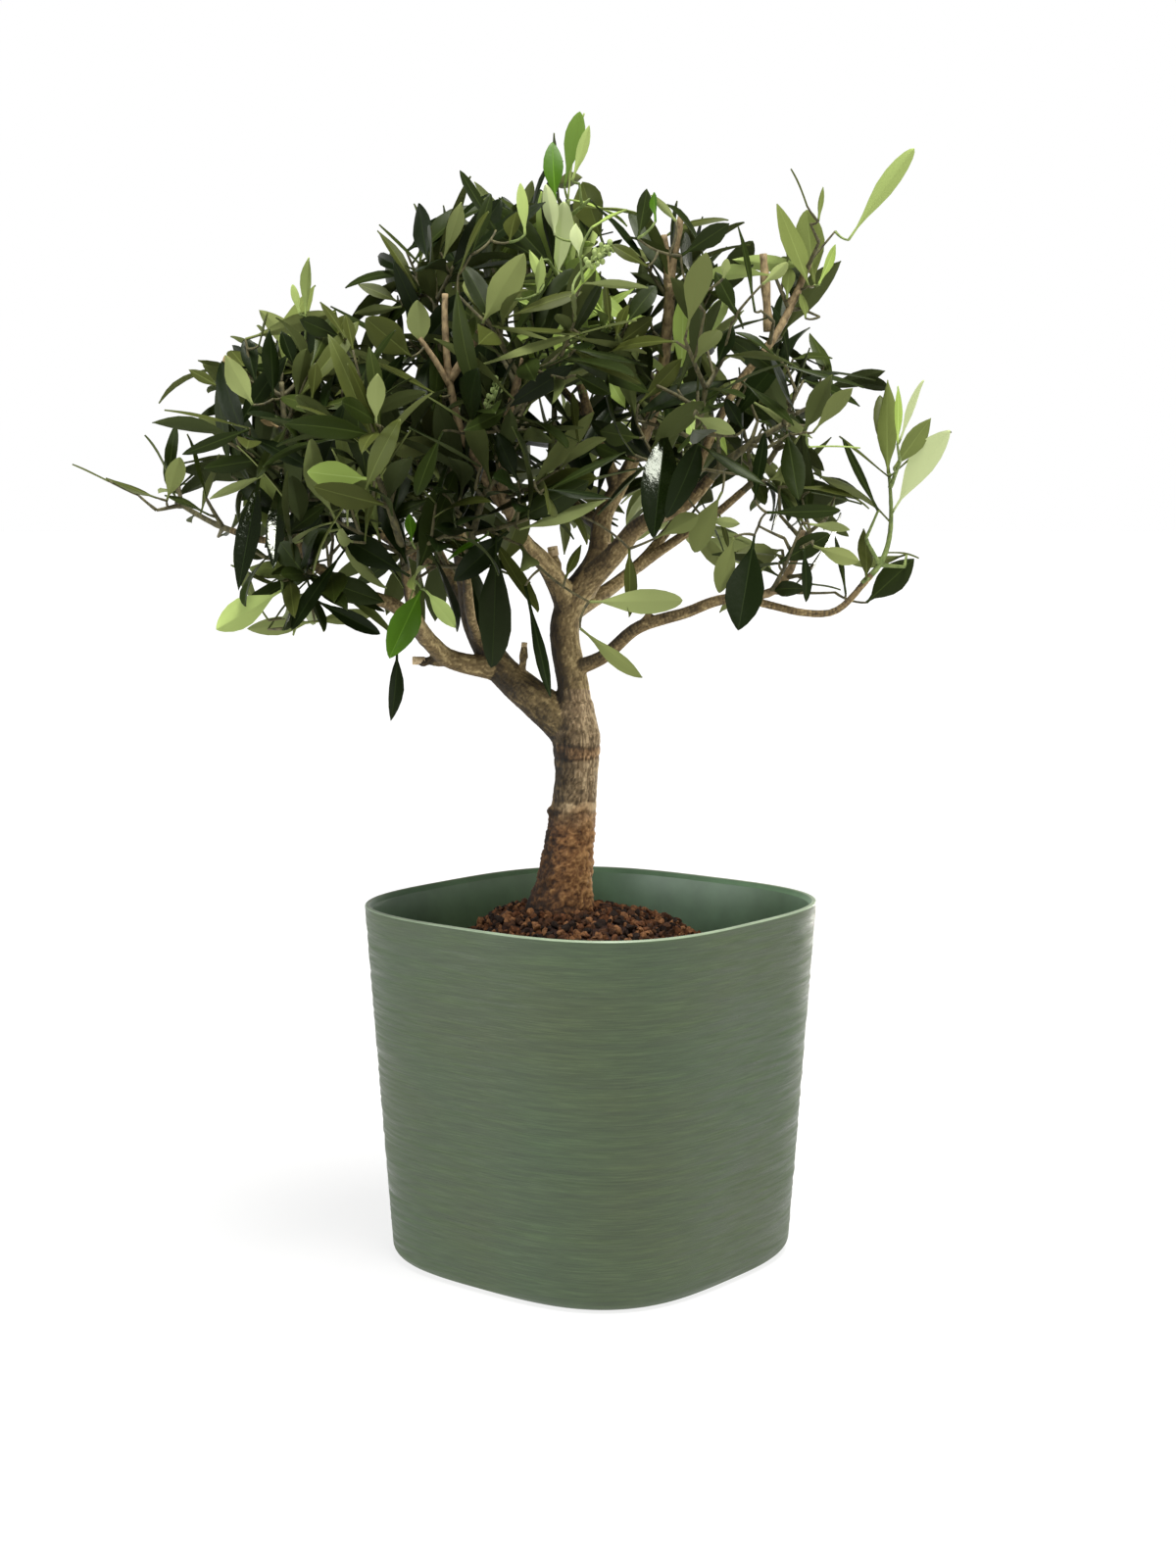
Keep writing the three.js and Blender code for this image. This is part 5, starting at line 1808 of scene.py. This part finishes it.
def bud_piece(crown):
    """Small sprays of flower buds, each on a stalk from the nearest twig"""
    random = np.random.default_rng(BUD_SEED)
    ball, ball_faces = pebble_form()
    pile = Pile()
    for root_pixel, tip_pixel in BUD_SPRAYS:
        _, _, carrier, depth = carrier_of(crown, root_pixel, tip_pixel)
        tip = EYE + depth * sight(tip_pixel)
        stalk = bezier(carrier, EYE + depth * sight(root_pixel), tip)
        pile.add(*tube(stalk, lambda share: mix(*BUD_STALK, share), *BUD_STALK_TUBE))
        for number in range(BUDS):
            along = mix(*BUD_SPAN, number / (BUDS - 1))
            out = opened(stalk.heading(along), turned(stalk.heading(along), number * BUD_TURN), BUD_OPENING)
            end = stalk.at(along) + out * random.uniform(*BUD_REACH) * (BUD_TAPER - along)
            pile.add(*tube(bezier(stalk.at(along), end), lambda share: BUD_STEM, *BUD_STEM_TUBE))
            pile.add(ball * random.uniform(*BUD_SIZE) * BUD_STRETCH + end, ball_faces)
    piece_of(pile.mesh("flower_buds"), [grained("bud_green", *BUD_TONES, TWIG_GRAIN)])


def knuckled(twig, line):
    """Radius along a twig, with a slight swelling at each knuckle"""

    def radius_at(share):
        wave = math.sin(share * line.length / KNUCKLE_STEP)
        return twig.radius_at(share) * (1 + KNUCKLE * wave**KNUCKLE_POWER)

    return radius_at


def twig_piece(crown):
    """Stems, twigs and sprigs as one piece, with a slight swelling along each, and the cut stubs"""
    lit_stem_wood, green_wood, cut_wood, young_wood = range(len(WOOD_TONES))
    pile = Pile()
    for start, end, first, last in LIMB_STUBS:
        start, end = np.array(start, float), np.array(end, float)
        cut = Line(np.array([mix(start, end, CUT_FROM), end + unit(end - start) * GAP]))
        pile.add(*tube(cut, lambda share: CUT_FACE * knobbed(first, last, 1), *CUT_TUBE), cut_wood)
    for start, end, first, last in STEM_STUBS:
        spots, faces = tube(bezier(start, end), lambda share: knobbed(first, last, share), *STEM_STUB_TUBE)
        pile.add(spots, faces, [lit_stem_wood] * (len(faces) - 1) + [cut_wood])
    for twig in crown.twigs:
        line = twig.trimmed()
        sides = STEM_SIDES if twig.radii[0] > STEM_RADIUS else TWIG_SIDES
        stem = twig.shown or twig.radii[0] > TWIG_RADIUS[0] and twig.mass in STEM_TIPS
        # Stems and shown stems take the paler tan, partly painted light
        slot = lit_stem_wood if stem else young_wood
        if twig.mass in GREEN_STEMS or twig.tint in GREEN_TINTS and not stem:
            slot = green_wood
        rings = max(LEAST_TWIG_RINGS, round(line.length / TWIG_STEP))
        pile.add(*tube(line, knuckled(twig, line), sides, rings), slot)
    woods = [grained(name, *tones, TWIG_GRAIN) for name, tones in WOOD_TONES.items()]
    piece_of(pile.mesh("twigs"), woods)


# The part

lines = limbs()
rim, inner_wall = [smooth_plastic(name, *look) for name, look in SMOOTH["looks"].items()]
pot = piece_of(pot_mesh(), [brushed_plastic(), rim, inner_wall])
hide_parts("pot")
soil = piece_of(soil_mesh(), [grained("soil_bed", *SOIL_TONES, STONE_GRAIN)])
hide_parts("soil")
stones = [grained(f"granule_{number}", *tones, STONE_GRAIN) for number, tones in enumerate(GRANULE_TONES)]
piece_of(granule_mesh(), stones)
limb_piece = piece_of(bark_mesh(lines), [bark()])
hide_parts("trunk", *[f"bough_{name}" for name in BOUGHS])

crown = Crown(lines)
grow(crown)
leaf_materials = {}
for tint, (upper, under, rib, *finish_of_upper) in TINTS.items():
    leaf_materials[tint] = [
        leaf_face(f"leaf_{tint}", upper, *finish_of_upper),
        leaf_face(f"leaf_{tint}_under", under, *UNDER_FINISH),
        leaf_face(f"leaf_{tint}_rib", rib, *RIB_FINISH),
    ]
for mass in FOLIAGE:
    leaf_piece(crown, mass, leaf_materials)
twig_piece(crown)
bud_piece(crown)

# Floor, light and camera

floor_mesh = bpy.data.meshes.new("floor")
floor_corners = [(x * FLOOR_HALF, y * FLOOR_HALF, 0) for x, y in ((-1, -1), (1, -1), (1, 1), (-1, 1))]
floor_mesh.from_pydata(floor_corners, [], [[0, 1, 2, 3]])
floor = placed("floor", floor_mesh)
floor_look = finish("floor", *FLOOR_FINISH)
floor_look.put("Emission Color", (1, 1, 1, 1))
floor_look.put("Emission Strength", FLOOR_GLOW)
floor_mesh.materials.append(floor_look.holder)

world = bpy.data.worlds.new("studio")
bpy.context.scene.world = world
sky = Look(world, "Background")
sky_way = sky.node("ShaderNodeTexCoord").outputs["Generated"]
sky_height = sky.node("ShaderNodeSeparateXYZ", Vector=sky_way).outputs["Z"]
sky.put("Color", sky.ramp(sky_height, SKY_TONES))
sky.put("Strength", 1)

sun = bpy.data.lights.new("sun", "SUN")
sun.energy = SUN["power"]
sun.angle = SUN["angle"]
sun.color = SUN["colour"]
placed("sun", sun).rotation_euler = SUN["turn"]
for name, (place, aim, size, power, colour) in LIGHTS.items():
    lamp = bpy.data.lights.new(name, "AREA")
    lamp.color = colour
    lamp.shape = "DISK"
    lamp.size = size
    lamp.energy = power
    lit = placed(name, lamp)
    lit.location = place
    away = np.subtract(place, aim)
    turn = math.atan2(away[1], away[0]) + math.pi / 2
    lit.rotation_euler = (math.acos(away[2] / np.linalg.norm(away)), 0, turn)

lens = bpy.data.cameras.new("camera")
lens.sensor_width = SENSOR
lens.lens = FOCAL / PHOTO[1] * SENSOR
camera = placed("camera", lens)
camera.location = EYE * MM
camera.rotation_euler = (math.pi / 2 - TILT, 0, 0)
bpy.context.scene.camera = camera
bpy.context.scene.view_settings.view_transform = "Standard"
